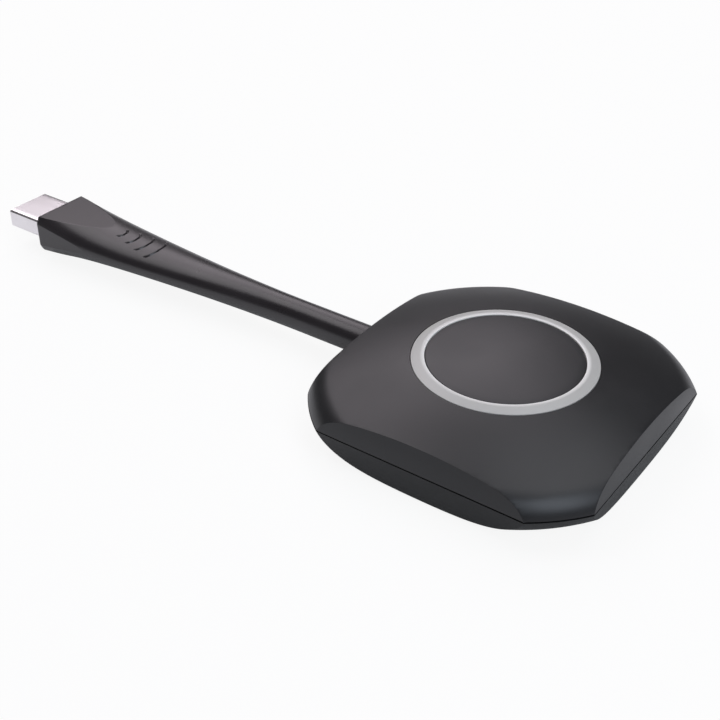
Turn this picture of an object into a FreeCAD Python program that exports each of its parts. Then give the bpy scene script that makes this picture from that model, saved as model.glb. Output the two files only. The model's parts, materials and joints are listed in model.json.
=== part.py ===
import FreeCAD, Part
import math
import os

# Wireless screen sharing dongle. Millimetres. Z up, underside of the foot pad at z = 0,
# X along the tail: the plug points to -X, the front of the body to +X.
V = FreeCAD.Vector

# Body outline and heights
ACROSS_FLATS = 63.5        # body width between opposite facets, at the parting plane
CORNER_RADIUS = 39.0       # rounded corners, measured from the body's centre
PARTING_Z = 7.0            # plane where the two covers meet, and axis of tail and plug
DOME_TOP_Z = 17.0          # crown of the dome over the table
DOME_RADIUS = 112.0        # sphere that the top follows
EDGE_RADIUS = 7.0          # roll-over from the dome to the rim
BASE_Z = 0.5               # underside of the bottom cover
BASE_ARC_RADIUS = 10.5     # roll-up from the base to the rim
UPPER_LEAN_DEG = 7.5       # facets of the top cover lean in by this
LOWER_LEAN_DEG = 9.0       # facets of the bottom cover lean in by this
WALL = 1.8                 # wall of both covers

# Shadow gap and lip between the covers
SEAM_GAP = 0.25
SEAM_DEPTH = 0.6
LIP_INSET = 0.9
LIP_THICKNESS = 0.7
LIP_DEPTH = 1.2
LIP_CLEARANCE = 0.08

# Foot pad
PAD_RADIUS = 27.5
PAD_THICKNESS = 1.0
PAD_CLEARANCE = 0.1
PAD_EDGE = 0.3             # chamfer round its lower edge

# Light ring and button
RING_OUTER_RADIUS = 18.6
RING_INNER_RADIUS = 16.0
RING_GAP = 0.15            # shadow gap between ring and top cover
RING_SEAT_Z = 12.8         # flat seat under the dome that the ring's flange meets
RING_FLANGE = 1.0          # flange thickness
RING_FLANGE_RADIUS = 21.0
RING_LIP = 0.12            # the ring's inner lip stands this proud of the dome
RING_EDGE = 0.25
SEAT_RADIUS = 22.2
BUTTON_GAP = 0.25          # between button and ring
BUTTON_DROP = 0.15         # button edge below the ring's inner lip
BUTTON_CROWN_RADIUS = 150.0
BUTTON_EDGE = 0.5
BUTTON_PLATE = 1.5
BUTTON_SKIRT = 1.4
BUTTON_FLANGE = 1.0
BUTTON_FLANGE_OVERLAP = 0.8
BUTTON_STOP_GAP = 0.1      # flange to the ring's underside at rest
BUTTON_POST_RADIUS = 2.4
BUTTON_RIB = 1.0
BUTTON_RIB_COUNT = 6
BUTTON_RIB_DEPTH = 1.2

# Reflector under the ring
REFLECTOR_INNER_RADIUS = 17.3
REFLECTOR_OUTER_RADIUS = 21.0
REFLECTOR_WALL = 0.7
REFLECTOR_FLOOR = 0.6
REFLECTOR_BASE_GAP = 0.4   # floor of the reflector above the board
EAR_RADIUS = 2.4
EAR_THICKNESS = 1.2
EAR_WEB = 3.8
EAR_CENTRE_RADIUS = 24.2
EAR_ANGLES = (90.0, 210.0, 330.0)

# Main board
BOARD_TOP_Z = 8.6
BOARD_THICKNESS = 1.2
BOARD_BACK_GAP = 7.25      # from the facets' planes, at the tail and at the front
BOARD_FRONT_GAP = 5.25
BOARD_SIDE_GAP = 2.4       # between the board's edge and an antenna
BOARD_CORNER = 4.0         # cut off its corners, or more to keep off the covers' round corners
BOARD_ROUND_GAP = 3.2      # from those
BOARD_NOTCH_DEPTH = 5.5    # notch that leaves the tail's collar and wires free
BOARD_NOTCH_HALF = 8.0
BOARD_SCREW_X = 8.0        # or further out, where the reflector needs the room
BOARD_SCREW_INSET = 3.5    # from the board's edge
BOARD_SCREW_GAP = 1.5      # between the screw's head and the reflector

# Case bosses and screws
BOSS_OFFSET = 18.5         # bosses stand at plus and minus this in X and Y
BOSS_RADIUS = 2.6
BOSS_SHOULDER_RADIUS = 3.6
BOSS_HOLE_CLEARANCE = 0.3
SCREW_RADIUS = 1.0
SCREW_HEAD_RADIUS = 1.9
SCREW_HEAD_HEIGHT = 1.1
SCREW_CLEARANCE = 0.15
SCREW_REACH = 3.4          # thread length in the top cover's boss
SMALL_SCREW_RADIUS = 0.7
SMALL_HEAD_RADIUS = 1.3
SMALL_HEAD_HEIGHT = 0.8
SMALL_SCREW_REACH = 2.2
BORE_CLEARANCE = 0.05      # screw thread to its cored hole, and pieces moulded round others

# Tact switch
SWITCH_SIDE = 6.0
SWITCH_HEIGHT = 3.3
SWITCH_COVER = 0.3
SWITCH_WALL = 0.7
SWITCH_FLOOR = 0.8
PLUNGER_RADIUS = 1.75
PLUNGER_TOP = 4.3          # above the board
PLUNGER_CLEARANCE = 0.08
PLUNGER_FLANGE_RADIUS = 2.1
PLUNGER_FLANGE = 0.7
PLUNGER_NUB_TIP = 0.6      # radii of the nub that presses the snap dome
PLUNGER_NUB_BASE = 1.0
PLUNGER_TIP_GAP = 0.05     # between button post and plunger
SNAP_DOME_RADIUS = 2.1
SNAP_DOME_RISE = 0.5
SNAP_DOME_SHEET = 0.12
SNAP_DOME_FLAT = 0.9

# Parts under and on the board
SHIELD_X = 3.5
SHIELD_LENGTH = 19.0
SHIELD_WIDTH = 17.0
SHIELD_HEIGHT = 2.4
SHIELD_SHEET = 0.2
SHIELD_SKIRT_GAP = 0.5     # lid's skirt stops short of the board
CHIP_SIDE = 12.0
CHIP_HEIGHT = 1.2
THERMAL_PAD_INSET = 0.5    # from the chip's edge, all round
MEMORY_LENGTH = 9.0
MEMORY_WIDTH = 6.0
MEMORY_HEIGHT = 0.9
MEMORY_GAP = 1.0           # to the shield
MEMORY_X = 1.5
WIFI_SIDE = 12.0
WIFI_GAP = 0.8             # to the shield
WIFI_HEIGHT = 2.0
CRYSTAL_LENGTH = 3.2
CRYSTAL_WIDTH = 2.5
CRYSTAL_HEIGHT = 0.8
CRYSTAL_PLACES = ((-8.0, 9.0), (14.0, 11.5))
INDUCTOR_SIDE = 4.0
INDUCTOR_HEIGHT = 2.0
INDUCTOR_CORNER = 0.8
INDUCTOR_PLACES = ((-10.0, -13.0), (-10.0, 13.0))
CAPACITOR_LENGTH = 2.0
CAPACITOR_WIDTH = 1.25
CAPACITOR_HEIGHT = 0.9
CAPACITOR_COUNT = 4        # in each of two rows
CAPACITOR_PITCH = 4.0
CAPACITOR_ROW_Y = 10.0
LED_COUNT = 8
LED_CENTRE_RADIUS = 19.15
LED_LENGTH = 2.0
LED_WIDTH = 1.4
LED_HEIGHT = 0.75
LED_WINDOW = 0.35          # window in the reflector, larger than the LED by this all round

# Antennas
ANTENNA_LENGTH = 20.0
ANTENNA_HEIGHT = 6.0
ANTENNA_THICKNESS = 0.6
ANTENNA_X = 4.0
ANTENNA_Z = 3.4
ANTENNA_WALL_GAP = 0.3
LEAD_RADIUS = 0.57
LEAD_BEND = 1.4
LEAD_CROSSING = 4.0        # from the end of its bend to the middle of the socket
LEAD_Z = 5.5
LEAD_OVERLAP = 1.5         # soldered length on the aerial
SOCKET_RADIUS = 1.3
SOCKET_HEIGHT = 2.4
SOCKET_X = -10.5

# Cable inside the tail
WIRE_RADIUS = 0.42
WIRE_SPACING = 0.5         # wires run at plus and minus this round the axis
WIRE_CORNERS = ((-1, 1), (-1, -1), (1, -1), (1, 1))    # across and up, from the first wire on
BRAID_RADIUS = 1.45
BRAID_SHEET = 0.15
JACKET_RADIUS = 2.0
JACKET_END_GAP = 8.15      # from the facets' plane to the jacket's end inside the body
HEADER_FRONT_X = -7.0
HEADER_LENGTH = 4.0
HEADER_WIDTH = 8.6
HEADER_HEIGHT = 3.6
HEADER_WALL = 0.8
WIRE_PLUG_LENGTH = 6.0
WIRE_PLUG_HEIGHT = 2.2
WIRE_PITCH = 1.7
WIRE_BEND = 2.0            # radius of the wires' bends
STRIP_LENGTH = 0.6         # braid cut back from the jacket's ends, and wires straight past them
FAN_RUN = 1.2              # straight ends of the stretch where the wires fan out
FAN_LENGTH = 5.4
FAN_ROOM = 0.45            # room round the wires there

# Tail sleeve: square grip at the plug, round tail at the body
TAIL_RADIUS = 3.45
TAIL_HOLE_GAP = 0.1
GRIP_FRONT_X = -127.8
GRIP_HALF_WIDTH = 7.93
GRIP_TOP = 4.55            # over the tail's axis
GRIP_BOTTOM = 4.6
GRIP_CORNER = 1.4
SHOULDER_X = -104.0        # where the four flats of the grip have run out
SHOULDER_HALF_WIDTH = 6.6
SHOULDER_TOP = 5.5
SHOULDER_BOTTOM = 4.2
SHOULDER_SIDE_DROP = 0.55  # widest point of the section below the axis
NECK_X = -48.0             # where the taper has become the round tail
COLLAR_HALF_WIDTH = 6.0
COLLAR_HALF_HEIGHT = 4.2
COLLAR_THICKNESS = 2.6
COLLAR_CORNER = 1.5
COLLAR_GAP = 0.15
COLLAR_SETBACK = 0.55      # collar from the inside of the wall at the parting plane
RIB_THICKNESS = 1.2
RIB_HALF_WIDTH = 7.5

# Finger grooves: four half ellipses seen from above
GROOVE_COUNT = 4
GROOVE_FIRST_X = -103.0    # crest of the groove nearest the plug
GROOVE_PITCH = 3.75
GROOVE_FIRST_HALF = 3.1
GROOVE_HALF_STEP = 0.53
GROOVE_FIRST_SAG = 2.0
GROOVE_SAG_STEP = 0.73
GROOVE_WIDTH = 0.45
GROOVE_DEPTH = 0.3

# USB-A plug
USB_TIP_X = -140.0
USB_WIDTH = 12.0
USB_HEIGHT = 4.5
USB_SHEET = 0.3
USB_LENGTH = 18.75
USB_CORNER = 0.6
USB_WINDOW_LENGTH = 2.2
USB_WINDOW_WIDTH = 2.5
USB_WINDOW_X = 5.2         # from the tip
USB_WINDOW_Y = 3.0
TONGUE_HEIGHT = 1.84
TONGUE_SETBACK = 0.4
USB_BLOCK_LENGTH = 6.8     # rear of the insulator fills the shell
CONTACT_WIDTH = 1.0
CONTACT_SHEET = 0.2
CONTACT_SETBACK = 1.2
CONTACT_TAIL = 1.6
CONTACT_Y = (-3.5, -1.0, 1.0, 3.5)
MOULD_LENGTH = 12.5
MOULD_HALF_WIDTH = 6.4
MOULD_HALF_HEIGHT = 3.2
MOULD_CORNER = 1.2
MOULD_SETBACK = 1.5        # from the grip's front face

HALF_FLATS = ACROSS_FLATS / 2
BOARD_BOTTOM_Z = BOARD_TOP_Z - BOARD_THICKNESS
FLOOR_Z = BASE_Z + WALL
RING_BOTTOM_Z = RING_SEAT_Z - RING_FLANGE
SLAB = 200.0               # larger than the whole object, for cutting tools
PAST = 1.0                 # cutting tools run this far past what they cut
FULL_TURN = 360.0
DIAGONAL = math.sqrt(0.5)  # a rounded corner's middle lies at this share of its radius


def export(name, shape):
    """Write one named piece and say how large it is."""
    shape.exportStep("parts/" + name + ".step")
    print(name, "solids", len(shape.Solids), "volume", round(shape.Volume, 2), shape.isValid())


def box(x0, x1, y0, y1, z0, z1):
    return Part.makeBox(x1 - x0, y1 - y0, z1 - z0, V(x0, y0, z0))


def centred_box(x, y, length, width, z0, z1):
    return box(x - length / 2, x + length / 2, y - width / 2, y + width / 2, z0, z1)


def post(radius, x, y, z0, z1):
    return Part.makeCylinder(radius, z1 - z0, V(x, y, z0))


def tube(outer, inner, z0, z1):
    return post(outer, 0, 0, z0, z1).cut(post(inner, 0, 0, z0, z1))


def rod(radius, x0, x1):
    """Cylinder along the tail's axis."""
    return Part.makeCylinder(radius, x1 - x0, V(x0, 0, PARTING_Z), V(1, 0, 0))


def fused(shapes):
    first = shapes[0]
    return first.fuse(shapes[1:]).removeSplitter() if len(shapes) > 1 else first


def spin(edges):
    """Solid of revolution round Z from edges that close a profile in the XZ plane."""
    face = Part.Face(Part.Wire(edges))
    return face.revolve(V(0, 0, 0), V(0, 0, 1), FULL_TURN)


def line(a, b):
    return Part.LineSegment(a, b).toShape()


def arc(a, middle, b):
    return Part.Arc(a, middle, b).toShape()


def polygon_spin(points):
    """Revolve a straight-sided profile given as (radius, height) pairs."""
    return spin_of([V(r, 0, z) for r, z in points])


def spin_of(corners):
    edges = [line(a, b) for a, b in zip(corners, corners[1:] + corners[:1])]
    return spin(edges)


def rounded_rectangle(width, height, radius, x):
    """Wire in the plane of constant x, centred on the tail's axis."""
    w, h, r = width / 2, height / 2, radius
    k = r * (1 - DIAGONAL)
    def at(y, z):
        return V(x, y, PARTING_Z + z)
    edges = [
        line(at(-w + r, h), at(w - r, h)),
        arc(at(w - r, h), at(w - k, h - k), at(w, h - r)),
        line(at(w, h - r), at(w, -h + r)),
        arc(at(w, -h + r), at(w - k, -h + k), at(w - r, -h)),
        line(at(w - r, -h), at(-w + r, -h)),
        arc(at(-w + r, -h), at(-w + k, -h + k), at(-w, -h + r)),
        line(at(-w, -h + r), at(-w, h - r)),
        arc(at(-w, h - r), at(-w + k, h - k), at(-w + r, h)),
    ]
    return Part.Wire(edges)


def bar(width, height, radius, x0, x1):
    """Bar along X with a rounded rectangular section."""
    return Part.Face(rounded_rectangle(width, height, radius, x0)).extrude(V(x1 - x0, 0, 0))


# Body form


def facet_frustum(inset, lean_deg, direction):
    """Square block whose four sides are the facets, moved in by the inset."""
    lean = math.tan(math.radians(lean_deg))
    half = HALF_FLATS - inset / math.cos(math.radians(lean_deg))
    wires = []
    for rise in (0, DOME_TOP_Z):
        h = half - rise * lean
        z = PARTING_Z + direction * rise
        corners = [V(-h, -h, z), V(h, -h, z), V(h, h, z), V(-h, h, z)]
        wires.append(Part.makePolygon(corners + corners[:1]))
    return Part.makeLoft(wires, True, True)


def edge_arc_centre():
    """Centre of the roll-over arc: tangent to the dome inside, through the rim at the parting plane."""
    dome_z = DOME_TOP_Z - DOME_RADIUS
    rise = PARTING_Z - dome_z
    span = math.hypot(CORNER_RADIUS, rise)
    near = DOME_RADIUS - EDGE_RADIUS
    along = (near ** 2 - EDGE_RADIUS ** 2 + span ** 2) / (2 * span)
    across = math.sqrt(near ** 2 - along ** 2)
    ux, uz = CORNER_RADIUS / span, rise / span
    return V(along * ux - across * uz, 0, dome_z + along * uz + across * ux)


def ball_under(top_z, radius):
    """Ball that reaches up to a height over the body's centre, with its poles at its sides."""
    return Part.makeSphere(radius, V(0, 0, top_z - radius), V(1, 0, 0))


def upper_outline(inset):
    """Rim, middle and top of the roll-over, moved in by the inset."""
    dome = V(0, 0, DOME_TOP_Z - DOME_RADIUS)
    centre = edge_arc_centre()
    radius = EDGE_RADIUS - inset
    top = dome + (centre - dome).normalize() * (DOME_RADIUS - inset)
    rim = V(centre.x + math.sqrt(radius ** 2 - (PARTING_Z - centre.z) ** 2), 0, PARTING_Z)
    middle = centre + ((top - centre) + (rim - centre)).normalize() * radius
    return rim, middle, top


def upper_form(inset):
    """Solid of the top cover's outer form, moved in by the inset."""
    rim, middle, top = upper_outline(inset)
    return upper_solid(inset, rim, [arc(rim, middle, top)], top)


def upper_inside():
    """Space inside the top cover. Its roll-over is two straight tapers."""
    rim, middle, top = upper_outline(WALL)
    return upper_solid(WALL, rim, [line(rim, middle), line(middle, top)], top)


def upper_solid(inset, rim, roll_over, top):
    """Band of the roll-over with the dome on it, trimmed by the four facets."""
    axis_foot, axis_top = V(0, 0, PARTING_Z), V(0, 0, top.z)
    band = spin([line(axis_foot, rim)] + roll_over + [line(top, axis_top), line(axis_top, axis_foot)])
    above_band = box(-SLAB, SLAB, -SLAB, SLAB, top.z, SLAB)
    dome = ball_under(DOME_TOP_Z - inset, DOME_RADIUS - inset).common(above_band)
    return band.fuse(dome).removeSplitter().common(facet_frustum(inset, UPPER_LEAN_DEG, 1))


def lower_outline(inset):
    """Edge of the flat base, middle and rim of the roll-up, moved in by the inset."""
    centre_z = BASE_Z + BASE_ARC_RADIUS
    drop = centre_z - PARTING_Z
    centre = V(CORNER_RADIUS - math.sqrt(BASE_ARC_RADIUS ** 2 - drop ** 2), 0, centre_z)
    radius = BASE_ARC_RADIUS - inset
    flat_end = V(centre.x, 0, centre_z - radius)
    rim = V(centre.x + math.sqrt(radius ** 2 - drop ** 2), 0, PARTING_Z)
    middle = centre + ((rim - centre) + (flat_end - centre)).normalize() * radius
    return flat_end, middle, rim


def lower_form(inset):
    """Solid of the bottom cover's outer form, moved in by the inset."""
    flat_end, middle, rim = lower_outline(inset)
    return lower_solid(inset, flat_end, [arc(flat_end, middle, rim)], rim)


def lower_inside():
    """Space inside the bottom cover. Its roll-up is two straight tapers."""
    flat_end, middle, rim = lower_outline(WALL)
    return lower_solid(WALL, flat_end, [line(flat_end, middle), line(middle, rim)], rim)


def lower_solid(inset, flat_end, roll_up, rim):
    """Flat base with its roll-up, trimmed by the four facets."""
    axis_foot, axis_top = V(0, 0, flat_end.z), V(0, 0, PARTING_Z)
    edges = [line(axis_foot, flat_end)] + roll_up + [line(rim, axis_top), line(axis_top, axis_foot)]
    return spin(edges).common(facet_frustum(inset, LOWER_LEAN_DEG, -1))


def lower_inside_radius(z):
    """Radius of the bottom cover's inside at a height."""
    flat_end, middle, rim = lower_outline(WALL)
    low, high = (flat_end, middle) if z < middle.z else (middle, rim)
    return low.x + (high.x - low.x) * (z - low.z) / (high.z - low.z)


def dome_height(radius):
    """Height of the outer dome at a distance from the centre."""
    return DOME_TOP_Z - DOME_RADIUS + math.sqrt(DOME_RADIUS ** 2 - radius ** 2)


def boss_places():
    return [(sx * BOSS_OFFSET, sy * BOSS_OFFSET) for sx in (-1, 1) for sy in (-1, 1)]


def ear_places():
    angles = [math.radians(a) for a in EAR_ANGLES]
    return [(EAR_CENTRE_RADIUS * math.cos(a), EAR_CENTRE_RADIUS * math.sin(a)) for a in angles]


def board_half_width():
    return antenna_y() - ANTENNA_THICKNESS - BOARD_SIDE_GAP


def board_screw_places():
    y = board_half_width() - BOARD_SCREW_INSET
    clear_radius = REFLECTOR_OUTER_RADIUS + SMALL_HEAD_RADIUS + BOARD_SCREW_GAP
    x = max(BOARD_SCREW_X, math.sqrt(max(clear_radius ** 2 - y ** 2, 0)))
    return [(x, -y), (x, y)]


def tail_hole():
    return rod(TAIL_RADIUS + TAIL_HOLE_GAP, -HALF_FLATS - PAST, collar_front_x() + COLLAR_GAP)


def collar_front_x():
    """Face of the tail's collar that bears on the inside of the wall."""
    return -HALF_FLATS + WALL + COLLAR_SETBACK


def collar_back_x():
    return collar_front_x() + COLLAR_THICKNESS


def collar_form(grow):
    return bar(2 * (COLLAR_HALF_WIDTH + grow), 2 * (COLLAR_HALF_HEIGHT + grow), COLLAR_CORNER + grow,
               collar_front_x() - grow, collar_back_x() + grow)


def cable_rib(z0, z1):
    """Wall across the body that holds the collar and lets the cable jacket through."""
    x0 = collar_back_x() + COLLAR_GAP
    x1 = x0 + RIB_THICKNESS
    rib = box(x0, x1, -RIB_HALF_WIDTH, RIB_HALF_WIDTH, z0, z1)
    return rib.cut(rod(JACKET_RADIUS + TAIL_HOLE_GAP, x0 - PAST, x1 + PAST))


def seam_groove():
    """Slot that lifts the top cover's edge off the bottom cover, all round the outside."""
    slab = box(-SLAB, SLAB, -SLAB, SLAB, PARTING_Z, PARTING_Z + SEAM_GAP)
    return slab.cut(upper_form(SEAM_DEPTH))


def make_top_shell():
    shell = upper_form(0).cut(upper_inside()).cut(seam_groove())
    within_wall = upper_form(WALL / 2)
    seat = tube(SEAT_RADIUS, RING_OUTER_RADIUS + RING_GAP, RING_SEAT_Z, DOME_TOP_Z).common(within_wall)
    bosses = [post(BOSS_RADIUS, x, y, BOARD_TOP_Z, DOME_TOP_Z) for x, y in boss_places()]
    ears = [post(EAR_RADIUS, x, y, RING_BOTTOM_Z, DOME_TOP_Z) for x, y in ear_places()]
    rib = cable_rib(PARTING_Z, DOME_TOP_Z)
    inner = [piece.common(within_wall) for piece in bosses + ears + [rib]]
    lip_outer = lower_form(LIP_INSET)
    lip_inner = lower_form(LIP_INSET + LIP_THICKNESS)
    lip = lip_outer.cut(lip_inner).common(box(-SLAB, SLAB, -SLAB, SLAB, PARTING_Z - LIP_DEPTH, PARTING_Z))
    shell = fused([shell, seat, lip] + inner)
    shell = shell.cut(post(RING_OUTER_RADIUS + RING_GAP, 0, 0, PARTING_Z, DOME_TOP_Z + PAST))
    shell = shell.cut(tail_hole()).cut(collar_form(COLLAR_GAP))
    for x, y in boss_places():
        shell = shell.cut(post(SCREW_RADIUS + BORE_CLEARANCE, x, y, BOARD_TOP_Z, BOARD_TOP_Z + SCREW_REACH))
    for x, y in ear_places():
        top = RING_BOTTOM_Z + SMALL_SCREW_REACH - EAR_THICKNESS
        shell = shell.cut(post(SMALL_SCREW_RADIUS + BORE_CLEARANCE, x, y, RING_BOTTOM_Z - PAST, top))
    return shell


def make_bottom_shell():
    shell = lower_form(0).cut(lower_inside())
    rabbet = lower_form(LIP_INSET - LIP_CLEARANCE)
    rabbet = rabbet.common(box(-SLAB, SLAB, -SLAB, SLAB, PARTING_Z - LIP_DEPTH - LIP_CLEARANCE, PARTING_Z))
    shell = shell.cut(rabbet)
    posts = []
    for x, y in boss_places():
        posts.append(post(BOSS_SHOULDER_RADIUS, x, y, FLOOR_Z - WALL / 2, BOARD_BOTTOM_Z))
        posts.append(post(BOSS_RADIUS, x, y, FLOOR_Z, BOARD_TOP_Z - BORE_CLEARANCE))
    for x, y in board_screw_places():
        posts.append(post(EAR_RADIUS, x, y, FLOOR_Z - WALL / 2, BOARD_BOTTOM_Z))
    posts.append(cable_rib(FLOOR_Z - WALL / 2, PARTING_Z))
    shell = fused([shell] + posts)
    shell = shell.cut(post(PAD_RADIUS + PAD_CLEARANCE, 0, 0, BASE_Z - PAST, PAD_THICKNESS))
    shell = shell.cut(tail_hole()).cut(collar_form(COLLAR_GAP))
    head_top = PAD_THICKNESS + SCREW_HEAD_HEIGHT + BORE_CLEARANCE
    for x, y in boss_places():
        shell = shell.cut(post(SCREW_RADIUS + SCREW_CLEARANCE, x, y, 0, BOARD_TOP_Z + PAST))
        shell = shell.cut(post(SCREW_HEAD_RADIUS + SCREW_CLEARANCE, x, y, 0, head_top))
    for x, y in board_screw_places():
        hole_end = BOARD_BOTTOM_Z - SMALL_SCREW_REACH
        shell = shell.cut(post(SMALL_SCREW_RADIUS + BORE_CLEARANCE, x, y, hole_end, BOARD_BOTTOM_Z + PAST))
    return shell


def screw(x, y, under_head_z, direction, radius, head_radius, head_height, length):
    """Pan head screw. The direction is +1 when the thread points up."""
    if direction > 0:
        head = post(head_radius, x, y, under_head_z - head_height, under_head_z)
        thread = post(radius, x, y, under_head_z, under_head_z + length)
    else:
        head = post(head_radius, x, y, under_head_z, under_head_z + head_height)
        thread = post(radius, x, y, under_head_z - length, under_head_z)
    return head.fuse(thread).removeSplitter()


def make_case_screws():
    under_head = PAD_THICKNESS + SCREW_HEAD_HEIGHT
    length = BOARD_TOP_Z + SCREW_REACH - BORE_CLEARANCE - under_head
    return Part.makeCompound([
        screw(x, y, under_head + BORE_CLEARANCE, 1, SCREW_RADIUS, SCREW_HEAD_RADIUS, SCREW_HEAD_HEIGHT,
              length - BORE_CLEARANCE)
        for x, y in boss_places()])


def make_board_screws():
    return Part.makeCompound([
        screw(x, y, BOARD_TOP_Z, -1, SMALL_SCREW_RADIUS, SMALL_HEAD_RADIUS, SMALL_HEAD_HEIGHT,
              BOARD_THICKNESS + SMALL_SCREW_REACH - BORE_CLEARANCE)
        for x, y in board_screw_places()])


def make_reflector_screws():
    return Part.makeCompound([
        screw(x, y, RING_BOTTOM_Z - EAR_THICKNESS, 1, SMALL_SCREW_RADIUS, SMALL_HEAD_RADIUS,
              SMALL_HEAD_HEIGHT, SMALL_SCREW_REACH - BORE_CLEARANCE)
        for x, y in ear_places()])


def make_foot_pad():
    return polygon_spin([(0, 0), (PAD_RADIUS - PAD_EDGE, 0), (PAD_RADIUS, PAD_EDGE),
                         (PAD_RADIUS, PAD_THICKNESS), (0, PAD_THICKNESS)])


# Light ring and button


def make_light_ring():
    inner, outer, flange, e = RING_INNER_RADIUS, RING_OUTER_RADIUS, RING_FLANGE_RADIUS, RING_EDGE
    top_in = dome_height(inner) + RING_LIP
    top_out = dome_height(outer)
    slope = (top_in - top_out) / (outer - inner)
    return polygon_spin([(inner, RING_BOTTOM_Z), (flange, RING_BOTTOM_Z), (flange, RING_SEAT_Z),
                         (outer, RING_SEAT_Z), (outer, top_out - e), (outer - e, top_out + e * slope),
                         (inner + e, top_in - e * slope), (inner, top_in - e)])


def button_radius():
    return RING_INNER_RADIUS - BUTTON_GAP


def button_edge_z():
    return dome_height(RING_INNER_RADIUS) + RING_LIP - BUTTON_DROP


def button_flange_z():
    """Top and bottom of the flange that stops under the ring."""
    top = RING_BOTTOM_Z - BUTTON_STOP_GAP
    return top - BUTTON_FLANGE, top


def make_button_cap():
    radius = button_radius()
    edge_z = button_edge_z()
    crown_z = edge_z + BUTTON_CROWN_RADIUS - math.sqrt(BUTTON_CROWN_RADIUS ** 2 - radius ** 2)
    low, high = button_flange_z()
    flange_r = RING_INNER_RADIUS + BUTTON_FLANGE_OVERLAP
    inner_r = radius - BUTTON_SKIRT
    plate_z = edge_z - BUTTON_PLATE
    chamfer_z = edge_z - BUTTON_EDGE
    cap = polygon_spin([(0, plate_z), (inner_r, plate_z), (inner_r, low), (flange_r, low), (flange_r, high),
                        (radius, high), (radius, chamfer_z), (radius - BUTTON_EDGE, edge_z),
                        (radius - BUTTON_EDGE, crown_z), (0, crown_z)])
    cap = cap.common(ball_under(crown_z, BUTTON_CROWN_RADIUS))
    tip_z = BOARD_TOP_Z + PLUNGER_TOP + PLUNGER_TIP_GAP
    pieces = [cap, post(BUTTON_POST_RADIUS, 0, 0, tip_z, plate_z + BUTTON_PLATE / 2)]
    rib = box(0, inner_r + BUTTON_SKIRT / 2, -BUTTON_RIB / 2, BUTTON_RIB / 2, plate_z - BUTTON_RIB_DEPTH,
              plate_z + BUTTON_PLATE / 2)
    for i in range(BUTTON_RIB_COUNT):
        turned = rib.copy()
        turned.rotate(V(0, 0, 0), V(0, 0, 1), FULL_TURN * i / BUTTON_RIB_COUNT)
        pieces.append(turned)
    return fused(pieces)


def led_places():
    step = FULL_TURN / LED_COUNT
    return [step * (i + 0.5) for i in range(LED_COUNT)]


def led_block(grow, z0, z1, angle):
    block = centred_box(LED_CENTRE_RADIUS, 0, LED_WIDTH + 2 * grow, LED_LENGTH + 2 * grow, z0, z1)
    block.rotate(V(0, 0, 0), V(0, 0, 1), angle)
    return block


def make_ring_leds():
    top = BOARD_TOP_Z + LED_HEIGHT
    return Part.makeCompound([led_block(0, BOARD_TOP_Z, top, angle) for angle in led_places()])


def make_ring_reflector():
    z0 = BOARD_TOP_Z + REFLECTOR_BASE_GAP
    floor_z = z0 + REFLECTOR_FLOOR
    inner, outer, wall = REFLECTOR_INNER_RADIUS, REFLECTOR_OUTER_RADIUS, REFLECTOR_WALL
    channel = polygon_spin([(inner, z0), (outer, z0), (outer, RING_BOTTOM_Z), (outer - wall, RING_BOTTOM_Z),
                            (outer - wall, floor_z), (inner + wall, floor_z), (inner + wall, RING_BOTTOM_Z),
                            (inner, RING_BOTTOM_Z)])
    pieces = [channel]
    for x, y in ear_places():
        ear = post(EAR_RADIUS, x, y, RING_BOTTOM_Z - EAR_THICKNESS, RING_BOTTOM_Z)
        web = box(outer - wall / 2, EAR_CENTRE_RADIUS, -EAR_WEB / 2, EAR_WEB / 2,
                  RING_BOTTOM_Z - EAR_THICKNESS, RING_BOTTOM_Z)
        web.rotate(V(0, 0, 0), V(0, 0, 1), math.degrees(math.atan2(y, x)))
        pieces += [ear, web]
    reflector = fused(pieces)
    for x, y in ear_places():
        reflector = reflector.cut(post(SMALL_SCREW_RADIUS + SCREW_CLEARANCE, x, y, z0, RING_SEAT_Z))
    for angle in led_places():
        reflector = reflector.cut(led_block(LED_WINDOW, z0, floor_z, angle))
    return reflector


# Tact switch


def make_switch_housing():
    top = BOARD_TOP_Z + SWITCH_HEIGHT - SWITCH_COVER
    body = centred_box(0, 0, SWITCH_SIDE, SWITCH_SIDE, BOARD_TOP_Z, top)
    return body.cut(post(SWITCH_SIDE / 2 - SWITCH_WALL, 0, 0, BOARD_TOP_Z + SWITCH_FLOOR, top + PAST))


def make_switch_cover():
    top = BOARD_TOP_Z + SWITCH_HEIGHT
    cover = centred_box(0, 0, SWITCH_SIDE, SWITCH_SIDE, top - SWITCH_COVER, top)
    return cover.cut(post(PLUNGER_RADIUS + PLUNGER_CLEARANCE, 0, 0, top - PAST, top + PAST))


def snap_dome_top():
    return BOARD_TOP_Z + SWITCH_FLOOR + SNAP_DOME_RISE + SNAP_DOME_SHEET


def make_switch_plunger():
    top = BOARD_TOP_Z + PLUNGER_TOP
    flange_top = BOARD_TOP_Z + SWITCH_HEIGHT - SWITCH_COVER - PLUNGER_CLEARANCE
    stem = post(PLUNGER_RADIUS, 0, 0, flange_top - PLUNGER_FLANGE, top)
    flange = post(PLUNGER_FLANGE_RADIUS, 0, 0, flange_top - PLUNGER_FLANGE, flange_top)
    nub = Part.makeCone(PLUNGER_NUB_TIP, PLUNGER_NUB_BASE,
                        flange_top - PLUNGER_FLANGE - snap_dome_top() - PLUNGER_TIP_GAP,
                        V(0, 0, snap_dome_top() + PLUNGER_TIP_GAP))
    return fused([stem, flange, nub])


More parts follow.
